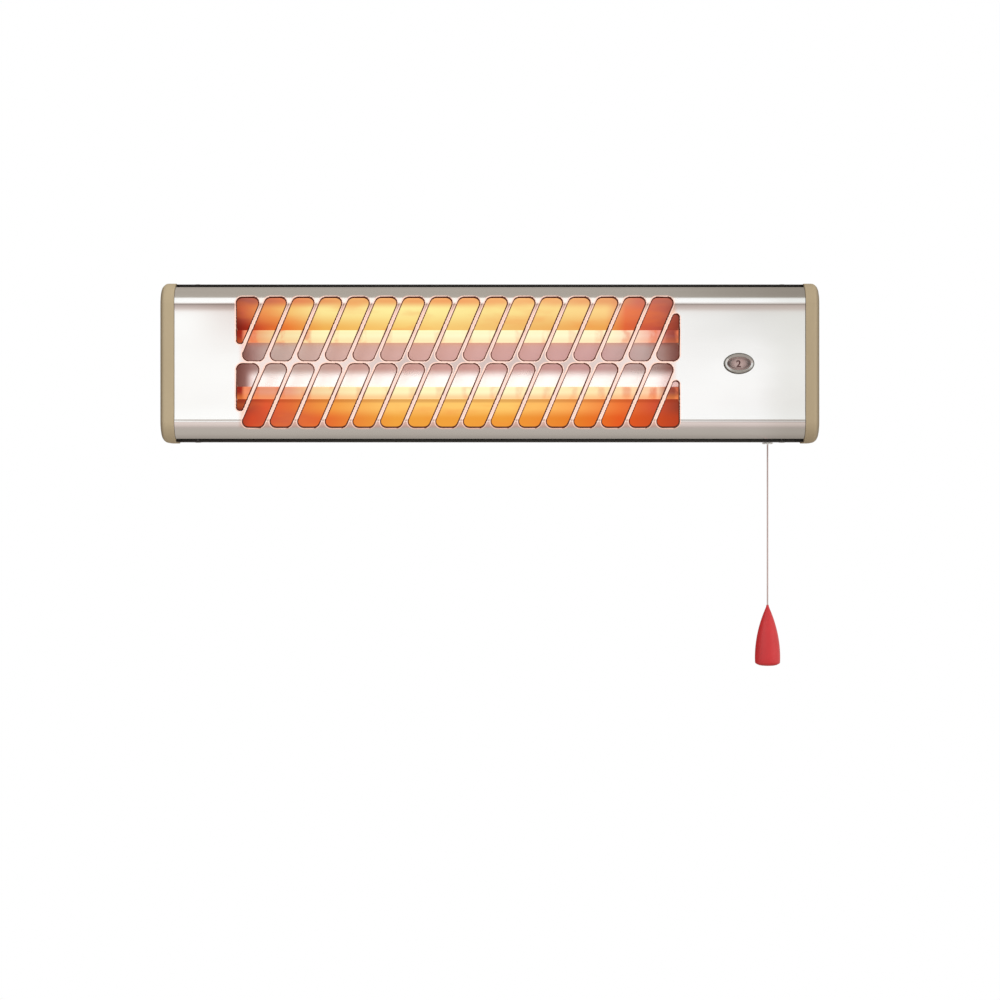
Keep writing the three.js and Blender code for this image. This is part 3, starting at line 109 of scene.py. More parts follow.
class Nodes:
    """A node tree that is built in Python."""

    def __init__(self, tree):
        self.tree = tree

    def feed(self, socket, value):
        """Gives a socket its constant or its link, or one link for each value in a list."""
        for part in value if isinstance(value, list) else [value]:
            if isinstance(part, Value):
                self.tree.links.new(part.socket, socket)
            else:
                socket.default_value = part

    def node(self, kind, inputs=None, output=0, stops=None, **settings):
        """A new node with its settings, a ramp's stops and its inputs, as its output's value."""
        node = self.tree.nodes.new(kind)
        for name, value in settings.items():
            setattr(node, name, value)
        if stops:
            ramp = node.color_ramp.elements
            while len(ramp) < len(stops):
                ramp.new(1)
            for element, (position, colour) in zip(ramp, stops):
                element.position = position
                element.color = colour
        for key, value in (inputs or {}).items():
            self.feed(node.inputs[key], value)
        return Value(self, node.outputs[output])

    def mix(self, factor, first, second):
        """A colour between two others. The node's sockets for numbers come before its colours."""
        inputs = {0: factor, 6: first, 7: second}
        return self.node("ShaderNodeMix", inputs, output=2, data_type="RGBA")

    def ramp(self, value, stops):
        return self.node("ShaderNodeValToRGB", {0: value}, stops=stops)


class Finish(Nodes):
    """The finish of a surface: one Principled shader, with its constants on its own sockets."""

    def __init__(self, name, constants):
        self.material = bpy.data.materials.new(name)
        self.material.use_nodes = True
        super().__init__(self.material.node_tree)
        self.shader = self.tree.nodes["Principled BSDF"]
        self.place = self.node("ShaderNodeTexCoord", output="Object")
        self.set(constants)

    def set(self, inputs):
        for name, value in inputs.items():
            self.feed(self.shader.inputs[name], value)

    def axis(self, index):
        """The place along X, Y or Z, in metres."""
        return self.node("ShaderNodeSeparateXYZ", {0: self.place}, output=index)

    def noise(self, scale, detail=2.0, fineness=(1, 1, 1)):
        """Soft random blotches, about 1 / scale metres across, and finer along each axis."""
        where = self.node("ShaderNodeMapping", {"Vector": self.place, "Scale": fineness})
        return self.node("ShaderNodeTexNoise", {"Vector": where, "Scale": scale, "Detail": detail})

    def bump(self, height, distance, strength=1.0):
        inputs = {"Height": height, "Distance": distance, "Strength": strength}
        self.set({"Normal": self.node("ShaderNodeBump", inputs)})


def srgb(red, green, blue):
    """A colour as the eye reads it, 0 to 255, for a shader socket."""

    def linear(share):
        return share / 12.92 if share <= 0.04045 else ((share + 0.055) / 1.055) ** 2.4

    return (*(linear(part / 255) for part in (red, green, blue)), 1.0)


def nylon():
    finish = Finish("nylon_cord", {"Roughness": 0.62})
    braid = (finish.axis(2) * 5200.0 + finish.axis(0) * 3000.0).wave()
    strands = (finish.axis(2) * 5200.0 - finish.axis(0) * 3000.0).wave()
    plait = (braid * strands).step(-0.6, 0.6)
    finish.set({"Base Color": finish.mix(plait, srgb(176, 152, 147), srgb(198, 176, 170))})
    finish.bump(plait, 0.00003)
    return finish


def coat(finish, *names):
    """Puts a finish on CAD nodes, whose shape stays."""
    for name in names:
        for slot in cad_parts[name].material_slots:
            slot.material = finish.material


CORD_X, CORD_Y = 0.222, -0.061
CORD_HEIGHTS = (
    -0.0641, -0.074, -0.086, -0.098, -0.110, -0.122, -0.134, -0.146,
    -0.158, -0.170, -0.182, -0.192, -0.202, -0.212, -0.222, -0.2321,
)
CORD_DIAMETER = 0.0012

cord_curve = bpy.data.curves.new("pull_cord_braid", "CURVE")
cord_curve.dimensions = "3D"
cord_curve.bevel_depth = CORD_DIAMETER / 2
cord_curve.bevel_resolution = 4
cord_curve.use_fill_caps = True
cord_line = cord_curve.splines.new("POLY")
cord_line.points.add(len(CORD_HEIGHTS) - 1)
for cord_point, height in zip(cord_line.points, CORD_HEIGHTS):
    cord_point.co = (CORD_X, CORD_Y, height, 1)
cord_finish = nylon()
cord_curve.materials.append(cord_finish.material)
cord = bpy.data.objects.new("pull_cord_braid", cord_curve)
scene.collection.objects.link(cord)
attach(cord, "pull")
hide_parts("pull_cord")
coat(cord_finish, "cord_inside", "cord_on_wheel")

# ---------------------------------------------------------------- knot and red knob
# The knob is moulded in red polypropylene, thin at the top and fullest near the bottom, with a
# recess below for the knot.


def circle(radius, along, axis, at, count):
    """Points round an axis X, Y or Z (0, 1, 2) through a place."""
    first, second = [(1, 2), (2, 0), (0, 1)][axis]
    points = []
    for i in range(count):
        angle = 2 * math.pi * i / count
        point = list(at)
        point[axis] += along
        point[first] += radius * math.cos(angle)
        point[second] += radius * math.sin(angle)
        points.append(point)
    return points


def loft(rings, closed=False):
    """A skin over rings of equally many points, which ends in caps or closes on itself."""
    shape = bmesh.new()
    rows = [[shape.verts.new(point) for point in ring] for ring in rings]
    pairs = list(zip(rows, rows[1:]))
    if closed:
        pairs.append((rows[-1], rows[0]))
    for near, far in pairs:
        for i in range(len(near)):
            j = (i + 1) % len(near)
            shape.faces.new((near[i], near[j], far[j], far[i]))
    if not closed:
        shape.faces.new(rows[0][::-1])
        shape.faces.new(rows[-1])
    return shape


def turned(profile, axis, at, count=48, closed=False):
    """A skin turned about an axis from a profile of (radius, distance along the axis)."""
    return loft([circle(radius, along, axis, at, count) for radius, along in profile], closed)


def make_piece(name, shape, finish, sharp=40):
    """An object of a shape, smooth but for edges sharper than an angle."""
    bmesh.ops.remove_doubles(shape, verts=shape.verts, dist=1e-6)
    bmesh.ops.recalc_face_normals(shape, faces=shape.faces)
    mesh = bpy.data.meshes.new(name)
    shape.to_mesh(mesh)
    shape.free()
    mesh.shade_smooth()
    mesh.set_sharp_from_angle(angle=math.radians(sharp))
    mesh.materials.append(finish.material)
    piece = bpy.data.objects.new(name, mesh)
    scene.collection.objects.link(piece)
    return piece


def red_plastic():
    finish = Finish("red_plastic", {"Roughness": 0.42, "Specular IOR Level": 0.7})
    cloud = finish.noise(60.0)
    finish.set({"Base Color": finish.mix(cloud, srgb(190, 20, 26), srgb(202, 28, 34))})
    finish.bump(finish.noise(2500.0), 0.00002)
    return finish


KNOB_TOP = -0.1924
KNOB_HEIGHT = 0.0486
KNOB_RADIUS = 0.0101
KNOB_NECK = (0.0009, 0.0003)  # radius and length
KNOB_FULLEST = 0.0426
KNOB_STEPS = 40
KNOB_SWELL = 0.84  # the knob grows faster near its top where this is smaller
KNOB_RECESS = (0.0035, 0.009)  # radius and depth
KNOB_BORE = 0.0009
KNOT_RADIUS = 0.0022
KNOT_GAP = 0.0003
KNOT_RINGS, KNOT_SIDES = 24, 32
KNOT_LUMPS, KNOT_TWIST, KNOT_DIP = 3, 5, 0.1  # the dips are a share of the radius


def knob_profile():
    """The knob's outline, down its outside and back up its recess and its bore."""
    neck_radius, neck_length = KNOB_NECK
    profile = [(KNOB_BORE, 0.0), (neck_radius, 0.0)]
    for i in range(1, KNOB_STEPS + 1):
        share = i / KNOB_STEPS
        swell = KNOB_RADIUS * math.sin(math.pi / 2 * share**KNOB_SWELL)
        along = neck_length + (KNOB_FULLEST - neck_length) * share
        profile.append((math.hypot(swell, neck_radius * (1 - share)), -along))
    recess_radius, recess_depth = KNOB_RECESS
    foot = (
        (0.01, 0.003), (0.0098, 0.0022), (0.0094, 0.00175), (0.0085, 0.0012), (0.0072, 0.0006),
        (0.0055, 0.0002), (recess_radius + 0.0004, 0.00005), (recess_radius, 0.0004),
        (recess_radius, recess_depth), (KNOB_BORE, recess_depth),
    )
    profile.extend((radius, up - KNOB_HEIGHT) for radius, up in foot)
    return profile


knob_at = (CORD_X, CORD_Y, KNOB_TOP)
knob = make_piece("red_knob", turned(knob_profile(), 2, knob_at, 64, closed=True), red_plastic())
knob.visible_glossy = False
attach(knob, "pull")
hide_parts("pull_knob")

knot_z = CORD_HEIGHTS[-1] - KNOT_GAP - KNOT_RADIUS
knot_rings = []
for i in range(1, KNOT_RINGS):
    angle = math.pi * i / KNOT_RINGS
    swirl = []
    for j, point in enumerate(circle(math.sin(angle), math.cos(angle), 2, (0, 0, 0), KNOT_SIDES)):
        winding = KNOT_LUMPS * (2 * math.pi * j / KNOT_SIDES) + KNOT_TWIST * angle
        lump = 1 - KNOT_DIP + KNOT_DIP * math.cos(winding)
        swirl.append(Vector(point) * KNOT_RADIUS * lump + Vector((CORD_X, CORD_Y, knot_z)))
    knot_rings.append(swirl)
knot = make_piece("tied_knot", loft(knot_rings), cord_finish, sharp=80)
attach(knot, "pull")
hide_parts("cord_knot")

# ---------------------------------------------------------------- front panel
# One sheet of bright stainless steel, 0.8 mm thick, bent back above and below. Its face is
# pressed in a little as a shallow dish, and every slot of the grille has its rim drawn inwards.


class Bend:
    """A bent sheet's outer face seen from its end, by the length along it from its middle."""

    def __init__(self, corners, arc_step=math.radians(4)):
        places = [Vector(corner[:2]) for corner in corners]
        ways = [(b - a).normalized() for a, b in zip(places, places[1:])]
        out = [Vector((way.y, -way.x)) for way in ways]
        self.stations = []
        self.add(places[0], out[0])
        for i in range(1, len(corners) - 1):
            radius = corners[i][2]
            turn = ways[i - 1].angle(ways[i])
            centre = places[i] - ways[i - 1] * radius * math.tan(turn / 2) - out[i - 1] * radius
            steps = max(1, round(turn / arc_step))
            for k in range(steps + 1):
                normal = out[i - 1].slerp(out[i], k / steps)
                self.add(centre + normal * radius, normal)
        self.add(places[-1], out[-1])
        middle = self.stations[-1][0] / 2
        self.stations = [(start - middle, point, side) for start, point, side in self.stations]

    def add(self, point, normal):
        along = 0.0
        if self.stations:
            last = self.stations[-1]
            chord = (point - last[1]).length
            turn = last[2].angle(normal)
            along = last[0] + (chord * turn / 2 / math.sin(turn / 2) if turn > 1e-6 else chord)
        self.stations.append((along, point.copy(), normal.copy()))

    def place(self, along):
        """Point and normal, as (y, z), at a length from the middle."""
        for (start, point, normal), (end, next_point, next_normal) in zip(
            self.stations, self.stations[1:]
        ):
            if along <= end + 1e-9:
                break
        share = (along - start) / (end - start) if end > start else 0.0
        return point.lerp(next_point, share), normal.lerp(next_normal, share).normalized()

    def length_at(self, y, z):
        """The length along the face of the place that is nearest to a point."""
        best = None
        for (start, point, _), (end, next_point, _) in zip(self.stations, self.stations[1:]):
            way = next_point - point
            if way.length < 1e-9:
                continue
            share = max(0.0, min(1.0, (Vector((y, z)) - point).dot(way) / way.length_squared))
            gap = (point + way * share - Vector((y, z))).length
            if best is None or gap < best[0]:
                best = (gap, start + share * (end - start))
        return best[1]


def rounded(corners, grow=0.0, steps=6):
    """Points of a convex outline, anticlockwise, with corners (u, v, radius), grown outwards."""
    places = [Vector(corner[:2]) for corner in corners]
    points = []
    for i, place in enumerate(places):
        before = (place - places[i - 1]).normalized()
        after = (places[(i + 1) % len(places)] - place).normalized()
        first, last = Vector((before.y, -before.x)), Vector((after.y, -after.x))
        radius = corners[i][2]
        centre = place - (first + last) / (1 + first.dot(last)) * radius
        for k in range(steps + 1):
            points.append(centre + first.slerp(last, k / steps) * (radius + grow))
    return points


# How much of the flat steel round a rim takes the rim's painted glow.
PAINTED_GLOW_EDGE = 0.0005
# Away from the rolled rims: how far in, the slope's way, and how far the roll has turned.
NOT_ROLLED = (0.0, Vector((0, 0)), 0.0)


class Hole:
    """A hole in a sheet: its outline for each margin, the radius of its rim, and the rim's wall."""

    def __init__(self, outline, rim=0.0, wall=0.0):
        self.outline = outline
        self.rim = rim
        self.wall = wall
        self.edge = outline(0.0)
        reach = rim + PAINTED_GLOW_EDGE + 1e-5 if rim else 1e-5
        self.low = [min(p[i] for p in self.edge) - reach for i in (0, 1)]
        self.high = [max(p[i] for p in self.edge) + reach for i in (0, 1)]

    def near(self, point):
        return all(self.low[i] <= point[i] <= self.high[i] for i in (0, 1))

    def holds(self, point):
        inside = False
        for a, b in zip(self.edge, self.edge[1:] + self.edge[:1]):
            if (a[1] > point[1]) != (b[1] > point[1]):
                if point[0] < a[0] + (b[0] - a[0]) * (point[1] - a[1]) / (b[1] - a[1]):
                    inside = not inside
        return inside

    def nearest(self, point):
        """Distance from the hole's edge, and the way into the hole there."""
        best = (1.0, None)
        for a, b in zip(self.edge, self.edge[1:] + self.edge[:1]):
            way = b - a
            share = max(0.0, min(1.0, (point - a).dot(way) / max(way.length_squared, 1e-12)))
            offset = a + way * share - point
            if offset.length < best[0]:
                inwards = offset if offset.length > 2e-6 else Vector((-way.y, way.x))
                best = (offset.length, inwards.normalized())
        return best

    def roll(self, point):
        """How far in a point of the rolled rim is, its slope's way, and how far it has turned."""
        if not self.rim or not self.near(point):
            return NOT_ROLLED
        gap, inwards = self.nearest(point)
        share = 1 - gap / self.rim
        if share <= 0:
            return NOT_ROLLED
        turn = math.asin(min(share, 1.0))
        return self.rim * (1 - math.cos(turn)), inwards, turn


RIM_STEPS = 5
# How far the roll of a rim has turned where its half with painted shade starts, on its left and
# right sides.
PAINTED_SHADE_TURN = (math.radians(24), math.radians(7))
# The places of a panel's finishes among its materials: the face, the rims' painted glow and the
# rims' painted shade.
FACE_STEEL, PAINTED_GLOW_STEEL, PAINTED_SHADE_STEEL = 0, 1, 2


def steel_at(place, holes):
    """Which of a panel's finishes covers a place: its face's, or one of the two on a rim, painted
    glow and painted shade.
    """
    for hole in holes:
        _, way, turn = hole.roll(place)
        if turn > 0:
            # Painted shade on the inner part of a roll, painted glow on its outer part and just
            # round it.
            return PAINTED_SHADE_STEEL if turn > PAINTED_SHADE_TURN[way.x < -0.1] else PAINTED_GLOW_STEEL
        if hole.rim and hole.nearest(place)[0] < hole.rim + PAINTED_GLOW_EDGE:
            return PAINTED_GLOW_STEEL
    return FACE_STEEL


def add_rim_wall(shape, rim, inwards, wall):
    """Carries the edge of a rolled rim straight on into the hole."""
    edge = [e for e in shape.edges if e.is_boundary and e.verts[0] in rim and e.verts[1] in rim]
    made = bmesh.ops.extrude_edge_only(shape, edges=edge)["geom"]
    for face in made:
        if isinstance(face, bmesh.types.BMFace):
            # The wall takes the rim's painted shade.
            face.material_index = PAINTED_SHADE_STEEL
    back = {v for v in made if isinstance(v, bmesh.types.BMVert)}
    for corner in back:
        near = min(
            (e.other_vert(corner) for e in corner.link_edges if e.other_vert(corner) in rim),
            key=lambda other: (other.co - corner.co).length,
        )
        corner.co = near.co + inwards[near] * wall


def bent_sheet(bend, reach, holes, dish=lambda along: 0.0, lines=()):
    """The outer skin of a sheet from -reach to reach along X, bent, pressed and pierced."""
    points, edges = [], []

    def add_loop(loop, closed=True):
        start = len(points)
        points.extend(Vector(point) for point in loop)
        count = len(loop)
        edges.extend((start + i, start + i + 1) for i in range(count - 1))
        if closed:
            edges.append((start + count - 1, start))

    first, last = bend.stations[0][0], bend.stations[-1][0]
    add_loop([(-reach, first), (reach, first), (reach, last), (-reach, last)])
    for along in [station[0] for station in bend.stations[1:-1]] + list(lines):
        add_loop([(-reach, along), (reach, along)], closed=False)
    for hole in holes:
        steps = RIM_STEPS if hole.rim else 0
        for k in range(steps + 1):
            turn = math.pi / 2 * k / max(steps, 1)
            add_loop(hole.outline(hole.rim * (1 - math.sin(turn)) if steps else 0.0))
        if hole.rim:
            add_loop(hole.outline(hole.rim + PAINTED_GLOW_EDGE))
    flat, _, triangles, _, _, _ = delaunay_2d_cdt(points, edges, [], 0, 1e-7)
    shape = bmesh.new()
    facing = shape.verts.layers.float_vector.new("facing")
    inwards, rims = {}, {}
    corners = []
    for point in flat:
        (y, z), normal = bend.place(point.y)
        rolls = [(*hole.roll(point), hole) for hole in holes if hole.rim and hole.near(point)]
        most_turned = max(rolls, key=lambda roll: roll[2], default=(*NOT_ROLLED, None))
        in_roll, way, turn, hole = most_turned
        depth = dish(point.y) + in_roll
        corner = shape.verts.new((point.x, y - normal.x * depth, z - normal.y * depth))
        slope = (dish(point.y + 1e-5) - dish(point.y - 1e-5)) / 2e-5
        ahead = Vector((0, -normal.y, normal.x))
        out = Vector((0, normal.x, normal.y))
        level = (out + ahead * slope).normalized()
        into_hole = Vector((way.x, 0, 0)) + ahead * way.y
        corner[facing] = level * math.cos(turn) + into_hole * math.sin(turn)
        inwards[corner] = -out
        corners.append(corner)
        if turn > math.pi / 2 - 0.01:
            rims.setdefault(id(hole), set()).add(corner)
    for triangle in triangles:
        middle = sum((flat[i] for i in triangle), Vector((0, 0))) / 3
        near_holes = [hole for hole in holes if hole.near(middle)]
        if not any(hole.holds(middle) for hole in near_holes):
            face = shape.faces.new([corners[i] for i in triangle])
            face.material_index = steel_at(middle, near_holes)
    for corner in [corner for corner in corners if not corner.link_faces]:
        shape.verts.remove(corner)
    for hole in [hole for hole in holes if hole.wall]:
        rim = {corner for corner in rims[id(hole)] if corner.is_valid}
        add_rim_wall(shape, rim, inwards, hole.wall)
    return shape


def apply_modifiers(piece):
    """Gives a piece the mesh that its modifiers make of it, and takes them off."""
    bpy.context.view_layer.update()
    evaluated = piece.evaluated_get(bpy.context.evaluated_depsgraph_get())
    mesh = bpy.data.meshes.new_from_object(evaluated)
    piece.modifiers.clear()
    piece.data = mesh
    return mesh


def thicken(piece, thickness):
    """Gives a skin its sheet's thickness, inwards, and shades its sides as they truly face."""
    solidify = piece.modifiers.new("sheet", "SOLIDIFY")
    solidify.thickness = thickness
    solidify.offset = -1
    solidify.use_even_offset = True
    mesh = apply_modifiers(piece)
    facing = [Vector(row.vector) for row in mesh.attributes["facing"].data]
    normals = []
    for face in mesh.polygons:
        for index in face.vertices:
            side = face.normal.dot(facing[index])
            kept = facing[index] if side > 0.4 else -facing[index] if side < -0.4 else Vector()
            normals.append(kept)
    mesh.normals_split_custom_set(normals)


def settle(piece):
    """Weights a piece's normals by the areas of its faces."""
    weighted = piece.modifiers.new("normals", "WEIGHTED_NORMAL")
    weighted.keep_sharp = True
    apply_modifiers(piece)


def bright_steel():
    finish = Finish("bright_steel", {"Metallic": 1.0})
    height = finish.axis(2)
    across = finish.axis(0).step(-0.24, 0.3)
    right = finish.axis(0).step(0.1, 0.25)
    cloud = finish.noise(9.0, 3.0, (1, 1, 2.2))
    grain = finish.noise(1.0, 2.0, (30, 30, 2600))
    # Painted shade: the face a shade darker towards the right.
    painted_shade_to_right = finish.mix(across, srgb(255, 255, 253), srgb(252, 252, 251))
    # Random clouds of grey, made stronger towards the right as painted shade.
    cloud_and_painted_shade = finish.mix(cloud.step(0.35, 0.75) * (0.1 + right * 0.3), painted_shade_to_right, srgb(222, 221, 218))
    # Painted shade over the upper right of the flat face.
    high_up = height.step(-0.005, 0.045) * height.step(0.0475, 0.046)
    shaded = finish.mix(high_up * right * 0.65, cloud_and_painted_shade, srgb(208, 207, 202))
    # Painted shade at the far right.
    far = finish.axis(0).step(0.205, 0.238)
    shaded = finish.mix(far * 0.6, shaded, srgb(226, 226, 221))
    # Painted pinkish shade on the upper left of the face, round the grille's left end.
    left_painted_shade = finish.axis(0).step(-0.245, -0.2) * finish.axis(0).step(-0.16, -0.18) * high_up
    shaded = finish.mix(left_painted_shade * 0.6, shaded, srgb(222, 208, 202))
    # Painted shade on the upper bend, towards the right.
    shaded = finish.mix(height.step(0.049, 0.0515) * right * 0.8, shaded, srgb(212, 211, 207))
    # The tubes' glow painted on the slats, its colour changing with height.
    painted_slat_glow_and_shade = finish.ramp((height + 0.05) * 10.0, [
        (0.02, srgb(244, 214, 204)), (0.09, srgb(250, 214, 194)), (0.163, srgb(252, 214, 192)),
        (0.234, srgb(254, 224, 206)), (0.312, srgb(252, 238, 228)), (0.45, srgb(247, 229, 223)),
        (0.55, srgb(247, 231, 225)), (0.62, srgb(248, 216, 212)), (0.69, srgb(253, 226, 202)),
        (0.76, srgb(250, 206, 184)), (0.84, srgb(253, 208, 180)), (0.91, srgb(252, 212, 190)),
        (0.975, srgb(255, 248, 240)),
    ])
    # Painted shade between the two rows of slots, in the middle of the grille.
    between = height.step(-0.015, -0.007) * height.step(0.017, 0.009)
    central = finish.axis(0).step(-0.14, -0.06) * finish.axis(0).step(0.13, 0.05)
    painted_slat_glow_and_shade = finish.mix(between * central * 0.7, painted_slat_glow_and_shade, srgb(204, 184, 178))
    grille = finish.axis(0).step(-0.199, -0.194) * finish.axis(0).step(0.1485, 0.144)
    on_grille = grille * height.step(0.0525, 0.05) * height.step(-0.0525, -0.05)
    # The grille takes the slats' painted glow and shade.
    with_painted_glow = finish.mix(on_grille, shaded, painted_slat_glow_and_shade)
    # Painted shade along the creases where the bends start, stronger on the left at the top and on
    # the right at the bottom.
    upper_crease_painted_shade = height.step(0.0395, 0.0447) * height.step(0.0468, 0.0461) * (0.45 - right * 0.3)
    lower_crease_painted_shade = height.step(-0.0452, -0.0459) * height.step(-0.0482, -0.0468)
    with_crease_painted_shade = finish.mix(upper_crease_painted_shade, with_painted_glow, srgb(160, 150, 146))
    with_crease_painted_shade = finish.mix(lower_crease_painted_shade * (0.15 + right * 0.35), with_crease_painted_shade, srgb(160, 150, 146))
    finish.set({
        # Painted shade along the top edge of the upper flange.
        "Base Color": finish.mix(height.step(0.0598, 0.0606), with_crease_painted_shade, srgb(120, 114, 108)),
        "Roughness": 0.1 + cloud * 0.08 + grain * 0.05,
    })
    finish.bump(grain, 0.000004)
    return finish


def rim_painted_glow():
    """The outer half of a rolled rim, with the tubes' pink glow painted on as colour and emission.
    """
    finish = Finish("warm_rims", {"Metallic": 1.0, "Emission Strength": 1.0})
    cloud = finish.noise(120.0)
    finish.set({
        "Base Color": finish.mix(cloud, srgb(255, 222, 208), srgb(255, 232, 222)),
        "Emission Color": finish.mix(cloud, srgb(124, 92, 80), srgb(136, 106, 94)),
        "Roughness": 0.34 + cloud * 0.1,
    })
    return finish


def rim_painted_shade():
    """The inner half of a rolled rim, and its wall, with shade painted on as dark brown."""
    finish = Finish("browned_rims", {"Metallic": 0.8})
    cloud = finish.noise(90.0)
    finish.set({
        "Base Color": finish.mix(cloud, srgb(88, 42, 32), srgb(114, 62, 48)),
        "Roughness": 0.4 + cloud * 0.15,
    })
    return finish


PANEL_LOW, PANEL_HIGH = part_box("front_panel")
PANEL_END = PANEL_HIGH.x
FRONT = PANEL_LOW.y
PANEL_HALF = PANEL_HIGH.z
PANEL_BACK = PANEL_HIGH.y
PANEL_SHEET = 0.0008
FACE_RADIUS = 0.0148
FACE_HALF = PANEL_HALF - FACE_RADIUS
DISH = ((0.0009, 0.0032), (0.00035, 0.0007))  # depths, each with the run that it takes
CREASE = (0.0006, 0.00012)  # width and depth

SLOT_COUNT = 17
SLOT_PITCH = 0.02175
SLAT_WIDTH = 0.0045
SLOT_HEIGHT = 0.0498
SLANT = 0.427
ROW_GAP = 0.0029
GRILLE_LEFT = -0.1993
SLOT_CORNER = 0.0046
SLOT_TIP = 0.0023
SLOT_RIM = 0.0012
RIM_WALL = 0.0005

WINDOW_X, WINDOW_Z = 0.1962, -0.001
WINDOW_SIZE = (0.0181, 0.0098)  # width and height
WINDOW_SKIRT = 0.0019
PANEL_SCREW_X, PANEL_SCREW_DEPTH = 0.232, 0.0195
PANEL_SCREW_HOLE = 0.0017


def slot(index, row):
    """A slanted slot of the grille. The first of a row is clipped upright on its left, and the
    last one on its right, at its own middle."""
    half = (SLOT_PITCH - SLAT_WIDTH) / 2
    middle = GRILLE_LEFT + index * SLOT_PITCH
    up = SLOT_HEIGHT / 2
    tip = half / SLANT
    low_left = (middle - half - SLANT * up, -up, SLOT_CORNER)
    low_right = (middle + half - SLANT * up, -up, SLOT_CORNER)
    high_right = (middle + half + SLANT * up, up, SLOT_CORNER)
    high_left = (middle - half + SLANT * up, up, SLOT_CORNER)
    corners = [low_left, low_right, high_right, high_left]
    if index == 0:
        corners = [(middle, -tip, SLOT_TIP), high_right, (middle, up, SLOT_CORNER)]
    if index == SLOT_COUNT - 1:
        corners = [low_left, (middle, -up, SLOT_CORNER), (middle, tip, SLOT_TIP)]
    lift = row * (ROW_GAP + SLOT_HEIGHT) / 2
    placed = [(x, z + lift, radius) for x, z, radius in corners]
    return Hole(lambda margin: rounded(placed, margin), SLOT_RIM, RIM_WALL)


def ellipse_hole(size, x, along, count=48):
    """An oval hole of a width and a height, without a rim."""

    def outline(margin):
        points = []
        for i in range(count):
            angle = 2 * math.pi * i / count
            u = x + (size[0] / 2 + margin) * math.cos(angle)
            points.append(Vector((u, along + (size[1] / 2 + margin) * math.sin(angle))))
        return points

    return Hole(outline)


def round_hole(radius, x, along):
    return ellipse_hole((2 * radius, 2 * radius), x, along, 24)


def dish(along):
    """How far the face is pressed in, with a fine crease where the bends start."""
    edge = abs(along)
    width, depth = CREASE
    if edge < FACE_HALF:
        return sum(deep * (1 - math.exp((edge - FACE_HALF) / run)) for deep, run in DISH)
    return depth * max(0.0, 1 - abs(edge - FACE_HALF - width / 2) / (width / 2))


panel_bend = Bend([
    (PANEL_BACK, PANEL_HALF),
    (FRONT, PANEL_HALF, FACE_RADIUS),
    (FRONT, -PANEL_HALF, FACE_RADIUS),
    (PANEL_BACK, -PANEL_HALF),
])
# Lines across the face, closer together where the dish falls more steeply.
LINES_BACK = (
    0.02, 0.016, 0.013, 0.0105, 0.0085, 0.0068, 0.0054, 0.0042, 0.0032, 0.0023,
    0.0016, 0.0011, 0.0008, 0.0005, 0.0002, 0.0, -CREASE[0] / 2, -CREASE[0],
)
panel_lines = [side * (FACE_HALF - back) for side in (-1, 1) for back in LINES_BACK]


def turned_over(hole):
    """The same hole with its height measured downwards, as the length along the face runs."""

    def outline(margin):
        return [Vector((point.x, -point.y)) for point in hole.outline(margin)]

    return Hole(outline, hole.rim, hole.wall)


panel_holes = [turned_over(slot(index, row)) for row in (-1, 1) for index in range(SLOT_COUNT)]
window_size = tuple(part + 2 * WINDOW_SKIRT for part in WINDOW_SIZE)
panel_holes.append(ellipse_hole(window_size, WINDOW_X, -WINDOW_Z))
for x in (-PANEL_SCREW_X, PANEL_SCREW_X):
    for up in (-1, 1):
        along = panel_bend.length_at(FRONT + PANEL_SCREW_DEPTH, up * PANEL_HALF)
        panel_holes.append(round_hole(PANEL_SCREW_HOLE, x, along))
steel = bright_steel()
panel_skin = bent_sheet(panel_bend, PANEL_END, panel_holes, dish, panel_lines)
panel = make_piece("steel_front", panel_skin, steel)
for rim_finish in (rim_painted_glow(), rim_painted_shade()):
    panel.data.materials.append(rim_finish.material)
thicken(panel, PANEL_SHEET)
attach(panel, "heater")
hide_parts("front_panel")

# ---------------------------------------------------------------- rear housing
# Black powder-coated sheet steel, bent round the back. The top and the underside have a row of
# vent slots each, and the back has the mains inlet.


def black_paint():
    finish = Finish("black_paint", {"Specular IOR Level": 0.5})
    orange_peel = finish.noise(1400.0, 3.0)
    dust = finish.noise(35.0, 4.0)
    finish.set({
        "Base Color": finish.mix(dust, srgb(36, 34, 31), srgb(48, 45, 41)),
        "Roughness": 0.42 + orange_peel * 0.18,
    })
    finish.bump(orange_peel, 0.00006)
    return finish


HOUSING_LOW, HOUSING_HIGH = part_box("rear_housing")
HOUSING_END = HOUSING_HIGH.x
HOUSING_HALF = HOUSING_HIGH.z
HOUSING_FRONT = HOUSING_LOW.y
HOUSING_BACK = HOUSING_HIGH.y
HOUSING_SHEET = 0.0012
TAPER = 0.022
BEND_RADIUS = 0.009
VENT_COUNT = 9
VENT_PITCH = 0.044
VENT_SIZE = (0.032, 0.0036)  # width and height
VENT_DEPTH = 0.031
VENT_ROUND = VENT_SIZE[1] / 2 - 1e-5  # a hair short of half, so that no two points meet
INLET_X, INLET_Z, INLET_HOLE = 0.178, -0.027, 0.0059
GUIDE_HOLE = 0.0033
CLAMP_OFF, CLAMP_Z = 0.00895, -0.014
CORNERS = ((-1, -1), (1, -1), (1, 1), (-1, 1))  # of a rectangle, anticlockwise

